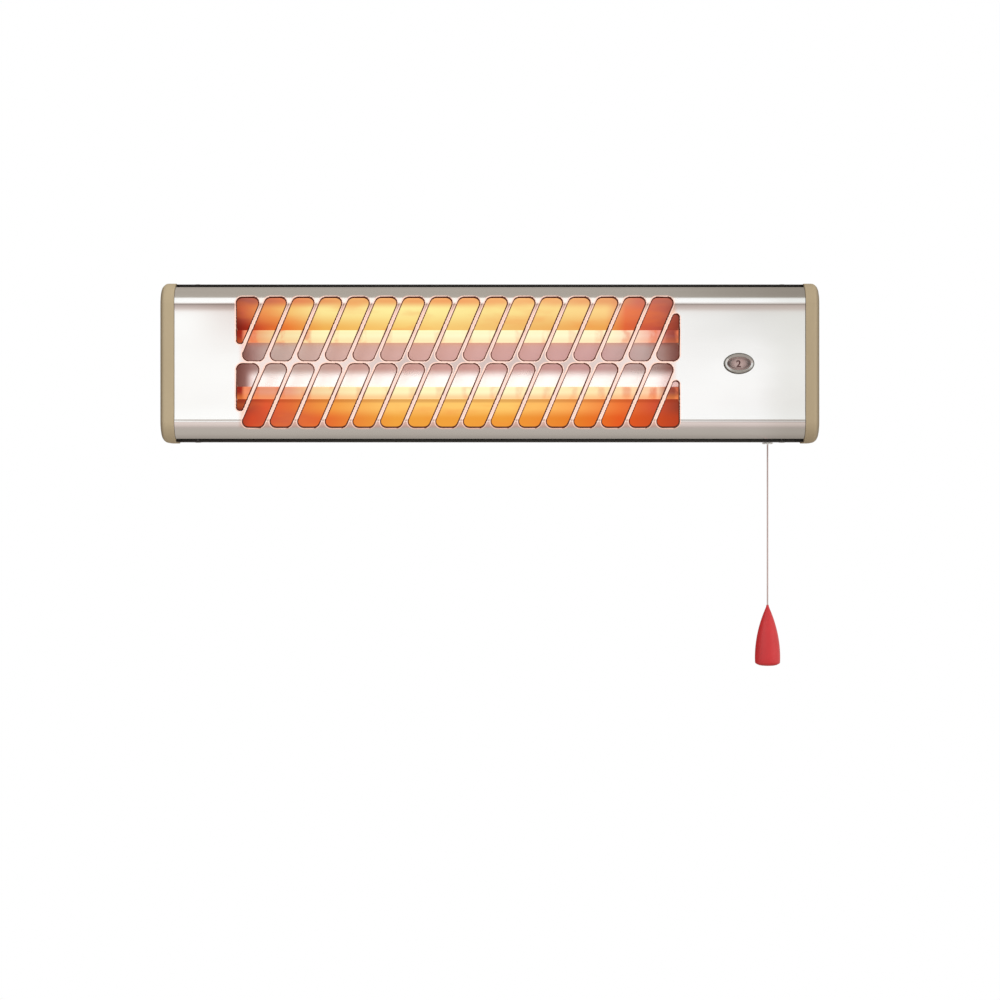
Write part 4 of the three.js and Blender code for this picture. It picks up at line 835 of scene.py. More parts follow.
housing_bend = Bend([
    (HOUSING_FRONT, -HOUSING_HALF),
    (HOUSING_BACK - TAPER, -HOUSING_HALF, BEND_RADIUS),
    (HOUSING_BACK, TAPER - HOUSING_HALF, BEND_RADIUS),
    (HOUSING_BACK, HOUSING_HALF - TAPER, BEND_RADIUS),
    (HOUSING_BACK - TAPER, HOUSING_HALF, BEND_RADIUS),
    (HOUSING_FRONT, HOUSING_HALF),
])
housing_holes = []
for up in (-1, 1):
    vent_along = housing_bend.length_at(FRONT + VENT_DEPTH, up * HOUSING_HALF)
    for i in range(VENT_COUNT):
        middle = (i - (VENT_COUNT - 1) / 2) * VENT_PITCH
        vent = []
        for u, v in CORNERS:
            x, along = middle + u * VENT_SIZE[0] / 2, vent_along + v * VENT_SIZE[1] / 2
            vent.append((x, along, VENT_ROUND))
        housing_holes.append(Hole(lambda margin, vent=vent: rounded(vent, margin)))
    screw_along = housing_bend.length_at(FRONT + PANEL_SCREW_DEPTH, up * HOUSING_HALF)
    for x in (-PANEL_SCREW_X, PANEL_SCREW_X):
        housing_holes.append(round_hole(PANEL_SCREW_HOLE, x, screw_along))
guide_along = housing_bend.length_at(CORD_Y, -HOUSING_HALF)
housing_holes.append(round_hole(GUIDE_HOLE, CORD_X, guide_along))
inlet_along = housing_bend.length_at(HOUSING_BACK, INLET_Z)
housing_holes.append(round_hole(INLET_HOLE, INLET_X, inlet_along))
clamp_along = housing_bend.length_at(HOUSING_BACK, CLAMP_Z)
for x in (INLET_X - CLAMP_OFF, INLET_X + CLAMP_OFF):
    housing_holes.append(round_hole(PANEL_SCREW_HOLE, x, clamp_along))
paint = black_paint()
housing = make_piece("black_housing", bent_sheet(housing_bend, HOUSING_END, housing_holes), paint)
thicken(housing, HOUSING_SHEET)
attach(housing, "heater")
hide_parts("rear_housing")

# ---------------------------------------------------------------- end caps
# Two mouldings in beige plastic close the ends. Each stands a little proud of the sheet metal,
# has a spigot inside it, and is held by two screws in wells.


def beige_plastic():
    finish = Finish("beige_plastic", {"Specular IOR Level": 0.45})
    grain = finish.noise(1800.0, 3.0)
    cloud = finish.noise(40.0, 2.0)
    # Painted shade round the caps' outer ends.
    end = (finish.axis(0) * finish.axis(0)).step(0.2562**2, 0.26**2)
    tone_and_painted_shade = finish.mix(cloud, srgb(176, 158, 126), srgb(186, 168, 136))
    # Painted shade: the right-hand cap darker.
    right_cap = finish.axis(0).step(-0.01, 0.01)
    tone_and_painted_shade = finish.mix(right_cap * 0.5, tone_and_painted_shade, srgb(160, 142, 113))
    # Painted shade, darker towards the bottom.
    tone_and_painted_shade = finish.mix(finish.axis(2).step(-0.045, -0.062) * 0.3, tone_and_painted_shade, srgb(130, 112, 84))
    finish.set({
        "Base Color": finish.mix(end * 0.85, tone_and_painted_shade, srgb(96, 82, 60)),
        "Roughness": 0.46 + grain * 0.14,
    })
    finish.bump(grain, 0.00005)
    return finish


FIT = 0.0003  # between pieces that touch
CAP_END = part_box("end_cap_right")[1].x
CAP_SHOULDER = HOUSING_END + FIT
CAP_PROUD = 0.0009
CAP_WALL = 0.0024
CAP_ROUND = (0.0056, 0.0064)  # along the heater, and inwards
CAP_EDGE = 0.0004
SPIGOT_LENGTH = 0.006
SPIGOT_WALL = 0.0016
SPIGOT_GAP = 0.0026
CAP_SCREW_Z = 0.024
CAP_SCREW_Y = FRONT + 0.048
CAP_WELL = (0.0039, 0.0032)  # radius and depth
CAP_SHANK = 0.0021
CAP_BOSS = (0.006, 0.008)  # radius, and how far it runs in from the shoulder
CAP_SHARP = 50  # degrees
CUT_OVER = 0.001  # how far a cutter runs on past what it cuts
ROUND_STEPS = 10


def end_outline(grow):
    """The heater seen from its end, as (y, z), grown outwards."""
    front_radius = FACE_RADIUS + HOUSING_HALF - PANEL_HALF
    corners = [
        (FRONT, HOUSING_HALF, front_radius),
        (FRONT, -HOUSING_HALF, front_radius),
        (HOUSING_BACK - TAPER, -HOUSING_HALF, BEND_RADIUS),
        (HOUSING_BACK, TAPER - HOUSING_HALF, BEND_RADIUS),
        (HOUSING_BACK, HOUSING_HALF - TAPER, BEND_RADIUS),
        (HOUSING_BACK - TAPER, HOUSING_HALF, BEND_RADIUS),
    ]
    return rounded(corners, grow, 10)


def cap_ring(side, x, grow):
    return [(side * x, y, z) for y, z in end_outline(grow)]


def rounding(x, grow, along, inwards):
    """Places (x, grow) over a quarter turn from the cap's side to its end."""
    places = []
    for k in range(ROUND_STEPS + 1):
        turn = math.pi / 2 * k / ROUND_STEPS
        places.append((x - along * (1 - math.sin(turn)), grow - inwards * (1 - math.cos(turn))))
    return places


def cut_away(piece, shape, finish, operation="DIFFERENCE"):
    """Cuts a shape out of a piece of a finish, or joins it on."""
    cutter = make_piece(piece.name + "_tool", shape, finish)
    boolean = piece.modifiers.new("cut", "BOOLEAN")
    boolean.operation = operation
    boolean.object = cutter
    boolean.solver = "EXACT"
    apply_modifiers(piece)
    bpy.data.objects.remove(cutter)


def end_cap(side, finish):
    inner_end = CAP_END - CAP_WALL
    inside = rounding(inner_end, CAP_PROUD - CAP_WALL, *(part - CAP_WALL for part in CAP_ROUND))
    outside = rounding(CAP_END, CAP_PROUD, *CAP_ROUND)
    mouth = CAP_SHOULDER - SPIGOT_LENGTH
    places = inside[::-1] + [
        (CAP_SHOULDER + CAP_WALL, CAP_PROUD - CAP_WALL),
        (CAP_SHOULDER + CAP_WALL, -SPIGOT_GAP - SPIGOT_WALL),
        (mouth, -SPIGOT_GAP - SPIGOT_WALL),
        (mouth, -SPIGOT_GAP),
        (CAP_SHOULDER, -SPIGOT_GAP),
        (CAP_SHOULDER, CAP_PROUD - CAP_EDGE),
        (CAP_SHOULDER + CAP_EDGE * 0.3, CAP_PROUD - CAP_EDGE * 0.3),
        (CAP_SHOULDER + CAP_EDGE, CAP_PROUD),
    ] + outside
    shape = loft([cap_ring(side, x, grow) for x, grow in places])
    name = f"moulded_cap_{'left' if side < 0 else 'right'}"
    cap = make_piece(name, shape, finish, CAP_SHARP)
    for up in (-1, 1):
        at = (0, CAP_SCREW_Y, up * CAP_SCREW_Z)
        radius, depth = CAP_WELL
        boss_radius, boss_run = CAP_BOSS
        boss_start, boss_end = side * (CAP_SHOULDER - boss_run), side * (CAP_END - CAP_WALL / 2)
        boss = [(boss_radius, boss_start), (boss_radius, boss_end)]
        inside_boss = side * (CAP_SHOULDER - boss_run - 2 * CUT_OVER)
        outside_cap = side * (CAP_END + CUT_OVER)
        shank = [(CAP_SHANK, inside_boss), (CAP_SHANK, outside_cap)]
        well = [(radius, side * (CAP_END - depth)), (radius, outside_cap)]
        cut_away(cap, turned(boss, 0, at), finish, "UNION")
        cut_away(cap, turned(shank, 0, at), finish)
        cut_away(cap, turned(well, 0, at), finish)
    cap.data.set_sharp_from_angle(angle=math.radians(CAP_SHARP))
    settle(cap)
    return cap


beige = beige_plastic()
for name, side in (("left", -1), ("right", 1)):
    cap = end_cap(side, beige)
    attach(cap, "heater")
    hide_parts(f"end_cap_{name}")

# ---------------------------------------------------------------- reflector and tube plates
# Polished aluminium sheet behind the tubes, with a parabola above and below that throws the
# tubes' glow forwards. The glow that it mirrors is painted on it, as colour and emission.

TUBE_LEFT, TUBE_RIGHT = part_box("tube_plate_left")[1].x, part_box("tube_plate_right")[0].x
TUBE_Y = FRONT + 0.036
TUBE_Z = 0.0226
TUBE_RADIUS = 0.005
FOCUS = 0.012
REFLECTOR_SHEET = 0.0008
REFLECTOR_LOW, REFLECTOR_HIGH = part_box("reflector")
PARABOLA_STEPS = 24


def shared_out(finish, colours):
    """Colours at shares of the way from the left tube plate to the right one."""
    share = (finish.axis(0) - TUBE_LEFT) / (TUBE_RIGHT - TUBE_LEFT)
    return finish.ramp(share, [(position, srgb(*colour)) for position, colour in colours])


def polished_aluminium():
    finish = Finish("polished_aluminium", {"Metallic": 1.0, "Emission Strength": 1.0})
    height = finish.axis(2)
    # The tubes' glow as the wings mirror it, painted as emission: its colour from end to end, on
    # each band of the upper and the lower wing.
    upper_high = shared_out(finish, [
        (0.0, (120, 40, 34)), (0.02, (190, 92, 70)), (0.06, (232, 150, 88)),
        (0.12, (244, 192, 112)), (0.2, (252, 232, 154)), (0.4, (253, 240, 160)),
        (0.6, (251, 226, 146)), (0.83, (250, 211, 138)), (0.875, (232, 126, 88)),
        (0.92, (212, 110, 84)), (0.96, (190, 98, 80)), (1.0, (130, 60, 52)),
    ])
    upper_low = shared_out(finish, [
        (0.0, (100, 26, 20)), (0.03, (158, 44, 28)), (0.06, (206, 84, 44)),
        (0.12, (232, 124, 54)), (0.2, (238, 178, 86)), (0.4, (248, 208, 120)),
        (0.6, (240, 192, 112)), (0.83, (236, 164, 82)), (0.875, (222, 100, 56)),
        (0.94, (192, 84, 66)), (1.0, (130, 56, 44)),
    ])
    upper_top = shared_out(finish, [
        (0.0, (130, 60, 52)), (0.03, (168, 92, 80)), (0.12, (222, 126, 84)),
        (0.26, (236, 172, 106)), (0.5, (240, 164, 102)), (0.66, (244, 190, 124)),
        (0.84, (232, 162, 108)), (0.9, (208, 118, 98)), (1.0, (160, 92, 82)),
    ])
    lower_high = shared_out(finish, [
        (0.0, (110, 40, 30)), (0.03, (164, 66, 48)), (0.07, (220, 88, 54)),
        (0.13, (224, 112, 58)), (0.22, (242, 158, 70)), (0.36, (254, 200, 108)),
        (0.62, (254, 202, 108)), (0.76, (250, 170, 88)), (0.86, (236, 118, 56)),
        (0.94, (206, 82, 54)), (1.0, (140, 60, 44)),
    ])
    lower_low = shared_out(finish, [
        (0.0, (120, 46, 34)), (0.04, (206, 74, 44)), (0.12, (206, 98, 66)),
        (0.2, (226, 104, 48)), (0.36, (238, 162, 62)), (0.6, (238, 158, 58)),
        (0.76, (230, 126, 42)), (0.86, (226, 90, 34)), (1.0, (180, 64, 38)),
    ])
    # Painted reflection on the middle of the sheet, between the tubes.
    middle_painted_reflection = shared_out(finish, [
        (0.0, (126, 98, 88)), (0.04, (178, 152, 146)), (0.1, (192, 172, 164)),
        (0.25, (202, 168, 160)), (0.5, (204, 162, 156)), (0.8, (198, 158, 156)),
        (0.92, (184, 164, 160)), (0.97, (154, 122, 114)), (1.0, (136, 100, 92)),
    ])
    upper = finish.mix(height.step(0.0295, 0.044), upper_low, upper_high)
    upper = finish.mix(height.step(0.0445, 0.0508), upper, upper_top)
    lower = finish.mix(height.step(-0.0335, -0.0435), lower_high, lower_low)
    # A redder glow painted next to the lower tube.
    lower = finish.mix(height.step(-0.031, -0.0285) * 0.35, lower, srgb(150, 50, 24))
    # Random stains in the roughness; the same noise paints patches of orange glow on the wings.
    stains_and_glow_patches = finish.noise(26.0, 3.0, (1, 1, 3.5))
    painted_wing_glow = finish.mix(height.step(-0.001, 0.001), lower, upper)
    painted_wing_glow = finish.mix(stains_and_glow_patches.step(0.45, 0.75) * 0.3, painted_wing_glow, srgb(240, 124, 52))
    on_wing = height.step(0.0222, 0.0232) + height.step(-0.0222, -0.0232)
    inside = finish.axis(0).step(-0.1985, -0.19)
    # Painted pale reflection on the lower part of the middle, but for the left end.
    pale = height.step(-0.002, -0.0105) * inside
    middle = finish.mix(pale, middle_painted_reflection, srgb(255, 253, 250))
    black = srgb(0, 0, 0)
    finish.set({
        # The wings are dark, with the glow painted as emission; the middle has its painted
        # reflection as colour, and 30% of it as emission.
        "Base Color": finish.mix(on_wing, middle, srgb(46, 26, 16)),
        "Emission Color": finish.mix(on_wing, finish.mix(0.7, middle, black), painted_wing_glow),
        "Roughness": 0.22 + stains_and_glow_patches * 0.15,
    })
    return finish


def zinc():
    finish = Finish("zinc_plate", {"Metallic": 1.0})
    spangle = finish.node("ShaderNodeTexVoronoi", {"Vector": finish.place, "Scale": 260.0})
    stain = finish.noise(24.0, 4.0)
    finish.set({
        "Base Color": finish.mix(stain, srgb(168, 170, 172), srgb(206, 207, 206)),
        "Roughness": 0.3 + spangle * 0.2 + stain * 0.12,
    })
    finish.bump(finish.noise(900.0, 3.0), 0.00003)
    return finish


def hot_plate():
    """Zinc-plated sheet, with the tubes' red glow painted on as a reddish colour and as emission.
    """
    finish = Finish("hot_plate", {"Metallic": 0.6, "Roughness": 0.45, "Emission Strength": 1.0})
    near = finish.noise(60.0, 3.0)
    finish.set({
        "Base Color": finish.mix(near, srgb(120, 60, 52), srgb(150, 84, 72)),
        "Emission Color": finish.mix(near, srgb(120, 24, 18), srgb(165, 40, 28)),
    })
    return finish


def reflector_section():
    """The reflector seen from its end, down its front side and back up behind."""
    half = REFLECTOR_HIGH.z - REFLECTOR_SHEET
    wing = []
    for i in range(PARABOLA_STEPS + 1):
        rise = (half - TUBE_Z) * (1 - i / PARABOLA_STEPS)
        wing.append((TUBE_Y + FOCUS - rise**2 / (4 * FOCUS), TUBE_Z + rise))
    front_side = [(REFLECTOR_LOW.y, half), *wing]
    front_side += [(y, -z) for y, z in reversed(front_side)]
    back_side = []
    for i, (y, z) in enumerate(front_side):
        before = Vector(front_side[max(i - 1, 0)])
        after = Vector(front_side[min(i + 1, len(front_side) - 1)])
        way = (after - before).normalized()
        behind = Vector((y, z)) + Vector((-way.y, way.x)) * REFLECTOR_SHEET
        behind.x = max(behind.x, REFLECTOR_LOW.y)
        back_side.append((behind.x, max(-REFLECTOR_HIGH.z, min(REFLECTOR_HIGH.z, behind.y))))
    return front_side + back_side[::-1]


section = reflector_section()
reflector_rings = []
for x in (REFLECTOR_LOW.x, REFLECTOR_HIGH.x):
    reflector_rings.append([(x, y, z) for y, z in section])
mirror = make_piece("polished_reflector", loft(reflector_rings), polished_aluminium(), sharp=50)
settle(mirror)
zinc_plate = zinc()
mirror.data.materials.append(zinc_plate.material)
# Only the faces towards a tube are polished.
for face in mirror.data.polygons:
    tube_side = Vector((0, TUBE_Y, math.copysign(TUBE_Z, face.center.z))) - face.center
    face.material_index = 0 if face.normal.dot(tube_side) > 0 else 1
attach(mirror, "heater")
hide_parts("reflector")
coat(hot_plate(), "tube_plate_left", "tube_plate_right")

# ---------------------------------------------------------------- quartz tubes
# Two tubes of milky quartz, 10 mm thick, with a glowing coil inside, held in ceramic caps in the
# tube plates. They are white-hot along the middle and redder at the ends.

TUBE_BORE = 0.0038
# The pitch of the slats' shadows, painted on the tubes.
SLAT_SHADOW_PITCH = 0.0213
TUBE_ENDS = [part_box("quartz_tube_upper")[i].x for i in (0, 1)]
# The tubes' colour in the painted shadows.
QUARTZ_IN_PAINTED_SHADOW = srgb(230, 122, 84)


def glowing_quartz(name, colours, up):
    finish = Finish(name, {"Roughness": 0.3, "Emission Strength": 1.0})
    wander = finish.noise(30.0) * 1.6
    turns = (finish.axis(0) * (2 * math.pi / SLAT_SHADOW_PITCH) + wander).wave()
    ends = finish.axis(0).step(-0.08, -0.19) + finish.axis(0).step(0.07, 0.16)
    speckle = finish.noise(170.0, 3.0, (1, 1, 0.5)).step(0.3, 0.62)
    # Painted shadows of the slats across the glow, speckled and stronger towards the ends.
    blotches = turns.step(0.1, 1.0) * speckle * (0.3 + ends * 0.6)
    lower_side = (finish.axis(2) - up * TUBE_Z).step(0.001, -0.0046)
    glow = finish.mix(blotches, shared_out(finish, colours), QUARTZ_IN_PAINTED_SHADOW)
    sides = finish.mix(0.6, glow, srgb(250, 150, 78))
    finish.set({
        "Base Color": srgb(50, 40, 32),
        "Emission Color": finish.mix(lower_side * (0.3 if up > 0 else 0.75), glow, sides),
    })
    return finish


UPPER_GLOW = [
    (0.0, (110, 16, 12)), (0.02, (160, 36, 20)), (0.026, (240, 140, 104)),
    (0.05, (232, 160, 110)), (0.1, (242, 214, 158)), (0.2, (250, 242, 186)),
    (0.5, (253, 247, 200)), (0.84, (253, 245, 204)), (0.9, (248, 214, 190)),
    (0.95, (236, 150, 132)), (0.966, (168, 82, 72)), (1.0, (120, 40, 34)),
]
LOWER_GLOW = [
    (0.0, (110, 16, 12)), (0.02, (160, 36, 20)), (0.026, (240, 140, 96)),
    (0.06, (226, 144, 112)), (0.13, (230, 158, 126)), (0.18, (242, 206, 154)),
    (0.28, (250, 236, 180)), (0.4, (251, 244, 188)), (0.6, (253, 246, 196)),
    (0.8, (250, 228, 172)), (0.945, (250, 202, 166)), (0.966, (160, 76, 58)),
    (1.0, (120, 40, 32)),
]
TUBE_BEVEL = 0.0003
start, end = TUBE_ENDS
tube_profile = [
    (TUBE_BORE, start), (TUBE_RADIUS - TUBE_BEVEL, start), (TUBE_RADIUS, start + TUBE_BEVEL),
    (TUBE_RADIUS, end - TUBE_BEVEL), (TUBE_RADIUS - TUBE_BEVEL, end), (TUBE_BORE, end),
]
for level, colours, up in (("upper", UPPER_GLOW, 1), ("lower", LOWER_GLOW, -1)):
    shape = turned(tube_profile, 0, (0, TUBE_Y, up * TUBE_Z), 48, closed=True)
    quartz = glowing_quartz(f"quartz_{level}", colours, up)
    tube = make_piece(f"milky_tube_{level}", shape, quartz)
    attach(tube, "heater")
    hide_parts(f"quartz_tube_{level}")


def hot_wire():
    finish = Finish("glowing_wire", {"Roughness": 0.6, "Emission Strength": 2.0})
    scale = finish.noise(300.0)
    finish.set({
        "Base Color": srgb(120, 60, 40),
        "Emission Color": finish.mix(scale, srgb(255, 120, 40), srgb(255, 170, 80)),
    })
    return finish


def ceramic():
    finish = Finish("white_ceramic", {"Roughness": 0.6})
    speck = finish.noise(500.0, 4.0)
    finish.set({"Base Color": finish.mix(speck, srgb(222, 214, 200), srgb(240, 236, 226))})
    finish.bump(speck, 0.00005)
    return finish


coat(hot_wire(), "heating_coil_upper", "heating_coil_lower")
white_ceramic = ceramic()
for level in ("upper", "lower"):
    for side in ("left", "right"):
        coat(white_ceramic, f"ceramic_cap_{level}_{side}")
        coat(zinc_plate, f"terminal_pin_{level}_{side}")

# ---------------------------------------------------------------- window and numbered disc
# A chromed oval bezel with a smoked lens. Behind it turns a white disc with a numeral for each
# heat setting, of which the window shows one.


BEZEL_SIZE = (0.024, 0.0165)  # width and height


def chrome():
    finish = Finish("chrome_trim", {"Metallic": 1.0})
    smear = finish.noise(220.0, 3.0)
    bright = finish.mix(smear, srgb(206, 206, 204), srgb(232, 232, 230))
    across = (finish.axis(0) - WINDOW_X) / (BEZEL_SIZE[0] / 2)
    up = (finish.axis(2) - WINDOW_Z) / (BEZEL_SIZE[1] / 2)
    # Painted shade round the bezel's outer edge.
    edge = (across * across + up * up).step(0.78, 0.9)
    finish.set({
        "Base Color": finish.mix(edge, bright, srgb(112, 112, 104)),
        "Roughness": 0.16 + smear * 0.12,
    })
    return finish


def smoked_lens():
    finish = Finish("smoked_lens", {"Roughness": 0.08})
    across = (finish.axis(0) - WINDOW_X) / (WINDOW_SIZE[0] / 2)
    up = (finish.axis(2) - WINDOW_Z) / (WINDOW_SIZE[1] / 2)
    edge = (across * across + up * up * 0.6).step(0.05, 0.9)
    mottle = finish.noise(700.0, 2.0)
    finish.set({
        "Base Color": finish.mix(edge, srgb(120, 104, 98), srgb(62, 60, 56)),
        "Alpha": 0.1 + edge * 0.55 + mottle * 0.1,
    })
    return finish


def disc_plastic():
    finish = Finish("disc_plastic", {"Roughness": 0.5, "Emission Strength": 1.0})
    cloud = finish.noise(120.0)
    finish.set({
        "Base Color": finish.mix(cloud, srgb(206, 190, 184), srgb(222, 208, 202)),
        # Painted light: the disc glows, as if lit inside the heater.
        "Emission Color": finish.mix(cloud, srgb(134, 108, 104), srgb(148, 120, 116)),
    })
    return finish


def printed_red():
    finish = Finish("printed_red", {"Roughness": 0.5})
    cloud = finish.noise(400.0)
    finish.set({"Base Color": finish.mix(cloud, srgb(84, 6, 12), srgb(100, 10, 16))})
    return finish


def oval(y, width, height, count=96):
    """Points round the window, at one depth."""
    points = []
    for i in range(count):
        angle = 2 * math.pi * i / count
        x = WINDOW_X + width / 2 * math.cos(angle)
        points.append((x, y, WINDOW_Z + height / 2 * math.sin(angle)))
    return points


BEZEL_PROUD = 0.0018
BEZEL_SKIRT = 0.0016
SKIRT_END = FRONT + PANEL_SHEET + 0.001
bezel_front = FRONT - BEZEL_PROUD
outer, inner = Vector(BEZEL_SIZE), Vector(WINDOW_SIZE)
bezel_rings = []
for share, depth in (
    (0.0, 0.0015), (0.0, 0.0011), (0.05, 0.0006), (0.14, 0.0002), (0.28, 0.0), (0.42, 0.0002),
    (0.54, 0.0006), (0.62, 0.0007), (0.8, 0.0009), (0.94, 0.0013), (1.0, 0.0018),
):
    bezel_rings.append(oval(bezel_front + depth, *(outer + (inner - outer) * share)))
bezel_rings.append(oval(SKIRT_END, *inner))
skirt = inner + Vector((BEZEL_SKIRT, BEZEL_SKIRT)) * 2
bezel_rings.append(oval(SKIRT_END, *skirt))
bezel_rings.append(oval(FRONT - FIT, *skirt))
bezel = make_piece("chrome_bezel", loft(bezel_rings, closed=True), chrome())
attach(bezel, "heater")
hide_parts("window_bezel")

LENS_RIM, LENS_DOME, LENS_STEPS = 0.0004, 0.0005, 8
lens_size = inner - Vector((FIT, FIT)) * 2
lens_rings = [oval(FRONT + PANEL_SHEET, *lens_size), oval(FRONT - LENS_RIM, *lens_size)]
for k in range(1, LENS_STEPS):
    turn = math.pi / 2 * k / LENS_STEPS
    domed = FRONT - LENS_RIM - LENS_DOME * math.sin(turn)
    lens_rings.append(oval(domed, *(lens_size * math.cos(turn))))
lens = make_piece("domed_lens", loft(lens_rings), smoked_lens())
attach(lens, "heater")
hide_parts("window_lens")

DISC_X = CORD_X - 0.011
DISC_Z = WINDOW_Z
DISC_Y = FRONT + 0.004
NUMERALS = ("2", "0", "1", "2", "0", "1")
NUMERAL_HEIGHT = 0.0053
DIGIT_SHARE = 0.7  # a digit's height in its font's size
NUMERAL_BOLD = 0.0002
PRINT = 0.00008
PRINT_GAP = 0.00002


def numeral_shape(digit, turn):
    """A printed digit on the disc, upright when the disc has turned it to the window."""
    text = bpy.data.curves.new("digit", "FONT")
    text.body = digit
    text.align_x = "CENTER"
    text.align_y = "CENTER"
    text.size = NUMERAL_HEIGHT / DIGIT_SHARE
    text.extrude = PRINT / 2
    text.offset = NUMERAL_BOLD
    word = bpy.data.objects.new("digit", text)
    scene.collection.objects.link(word)
    bpy.context.view_layer.update()
    evaluated = word.evaluated_get(bpy.context.evaluated_depsgraph_get())
    mesh = bpy.data.meshes.new_from_object(evaluated)
    bpy.data.objects.remove(word)
    places = [corner.co for corner in mesh.vertices]
    middle = [(min(c[k] for c in places) + max(c[k] for c in places)) / 2 for k in (0, 1)]
    reach = DISC_X - WINDOW_X
    for corner in mesh.vertices:
        u, v = corner.co.x - middle[0] - reach, corner.co.y - middle[1]
        x = u * math.cos(turn) + v * math.sin(turn)
        z = v * math.cos(turn) - u * math.sin(turn)
        corner.co = (DISC_X + x, DISC_Y - PRINT / 2 - PRINT_GAP - corner.co.z, DISC_Z + z)
    shape = bmesh.new()
    shape.from_mesh(mesh)
    return shape


print_red = printed_red()
coat(disc_plastic(), "indicator_disc")
for i, digit in enumerate(NUMERALS):
    shape = numeral_shape(digit, 2 * math.pi * i / len(NUMERALS))
    numeral = make_piece(f"numeral_{i}", shape, print_red)
    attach(numeral, "indicator")

# ---------------------------------------------------------------- screws
# Cross-recessed pan-head screws in zinc-plated steel: two above and two below hold the front
# panel, and two in each end hold the caps.


class Tree(Nodes):
    """A Geometry Nodes tree with named inputs."""

    def __init__(self, name, sizes):
        super().__init__(bpy.data.node_groups.new(name, "GeometryNodeTree"))
        face = self.tree.interface
        face.new_socket("Geometry", in_out="INPUT", socket_type="NodeSocketGeometry")
        for size in sizes:
            face.new_socket(size, in_out="INPUT", socket_type="NodeSocketFloat")
        face.new_socket("Finish", in_out="INPUT", socket_type="NodeSocketMaterial")
        face.new_socket("Geometry", in_out="OUTPUT", socket_type="NodeSocketGeometry")
        self.start = self.tree.nodes.new("NodeGroupInput")

    def given(self, name):
        return Value(self, self.start.outputs[name])

    def vector(self, x, y, z):
        return self.node("ShaderNodeCombineXYZ", {0: x, 1: y, 2: z})

    def end(self, geometry):
        solid = self.node("GeometryNodeRealizeInstances", {0: geometry})
        inputs = {"Geometry": solid, "Material": self.given("Finish")}
        coated = self.node("GeometryNodeSetMaterial", inputs)
        self.feed(self.tree.nodes.new("NodeGroupOutput").inputs[0], coated)


CROSS = (1.15, 0.26)  # length and width of the recess's arms, for a head of radius 1
CROSS_UP = 0.95  # where the middle of an arm's cutter is, for a head of height 1


def screw_tree():
    """A screw on each point, with its head's seat there and its head towards "facing"."""
    tree = Tree("pan_head_screws", ["Head Radius", "Head Height", "Shank Radius", "Length"])
    head, tall = tree.given("Head Radius"), tree.given("Head Height")
    shank, length = tree.given("Shank Radius"), tree.given("Length")
    ball = tree.node("GeometryNodeMeshUVSphere", {"Segments": 28, "Rings": 16, "Radius": head})
    size = tree.vector(1.0, 1.0, tall / head)
    dome = tree.node("GeometryNodeTransform", {"Geometry": ball, "Scale": size})
    slab = tree.node("GeometryNodeMeshCube", {"Size": tree.vector(head * 3, head * 3, tall * 2)})
    low = tree.node(
        "GeometryNodeTransform", {"Geometry": slab, "Translation": tree.vector(0, 0, tall * -1)}
    )
    cross = []
    for across, up in (CROSS, CROSS[::-1]):
        arm_size = tree.vector(head * across, head * up, tall)
        arm = tree.node("GeometryNodeMeshCube", {"Size": arm_size})
        lift = tree.vector(0, 0, tall * CROSS_UP)
        cross.append(tree.node("GeometryNodeTransform", {"Geometry": arm, "Translation": lift}))
    crossed = tree.node(
        "GeometryNodeMeshBoolean", {0: dome, 1: [low, *cross]},
        operation="DIFFERENCE", solver="EXACT",
    )
    rod = tree.node(
        "GeometryNodeMeshCylinder", {"Vertices": 20, "Radius": shank, "Depth": length}
    )
    down = tree.vector(0, 0, length * -0.5)
    stem = tree.node("GeometryNodeTransform", {"Geometry": rod, "Translation": down})
    screw = tree.node("GeometryNodeJoinGeometry", {0: [crossed, stem]})
    facing = tree.node(
        "GeometryNodeInputNamedAttribute", {0: "facing"}, data_type="FLOAT_VECTOR"
    )
    turn = tree.node("FunctionNodeAlignRotationToVector", {"Vector": facing}, axis="Z")
    places = {"Points": tree.given("Geometry"), "Instance": screw, "Rotation": turn}
    tree.end(tree.node("GeometryNodeInstanceOnPoints", places))
    return tree.tree


SCREWS = screw_tree()


def screws(name, seats, sizes, finish):
    """One object of screws, from seats (place, direction of the head) and the tree's sizes."""
    mesh = bpy.data.meshes.new(name)
    mesh.from_pydata([place for place, _ in seats], [], [])
    facing = mesh.attributes.new("facing", "FLOAT_VECTOR", "POINT")
    for row, (_, way) in zip(facing.data, seats):
        row.vector = way
    piece = bpy.data.objects.new(name, mesh)
    scene.collection.objects.link(piece)
    modifier = piece.modifiers.new("screws", "NODES")
    modifier.node_group = SCREWS
    given = {item.name: item.identifier for item in SCREWS.interface.items_tree
             if item.in_out == "INPUT"}
    for key, value in sizes.items():
        modifier[given[key]] = value
    modifier[given["Finish"]] = finish.material
    solid = apply_modifiers(piece)
    solid.shade_smooth()
    solid.set_sharp_from_angle(angle=math.radians(35))
    return piece


def bright_zinc():
    finish = Finish("zinc_screw", {"Metallic": 1.0})
    smear = finish.noise(400.0, 3.0)
    finish.set({
        "Base Color": finish.mix(smear, srgb(176, 178, 178), srgb(214, 214, 212)),
        "Roughness": 0.24 + smear * 0.2,
    })
    return finish


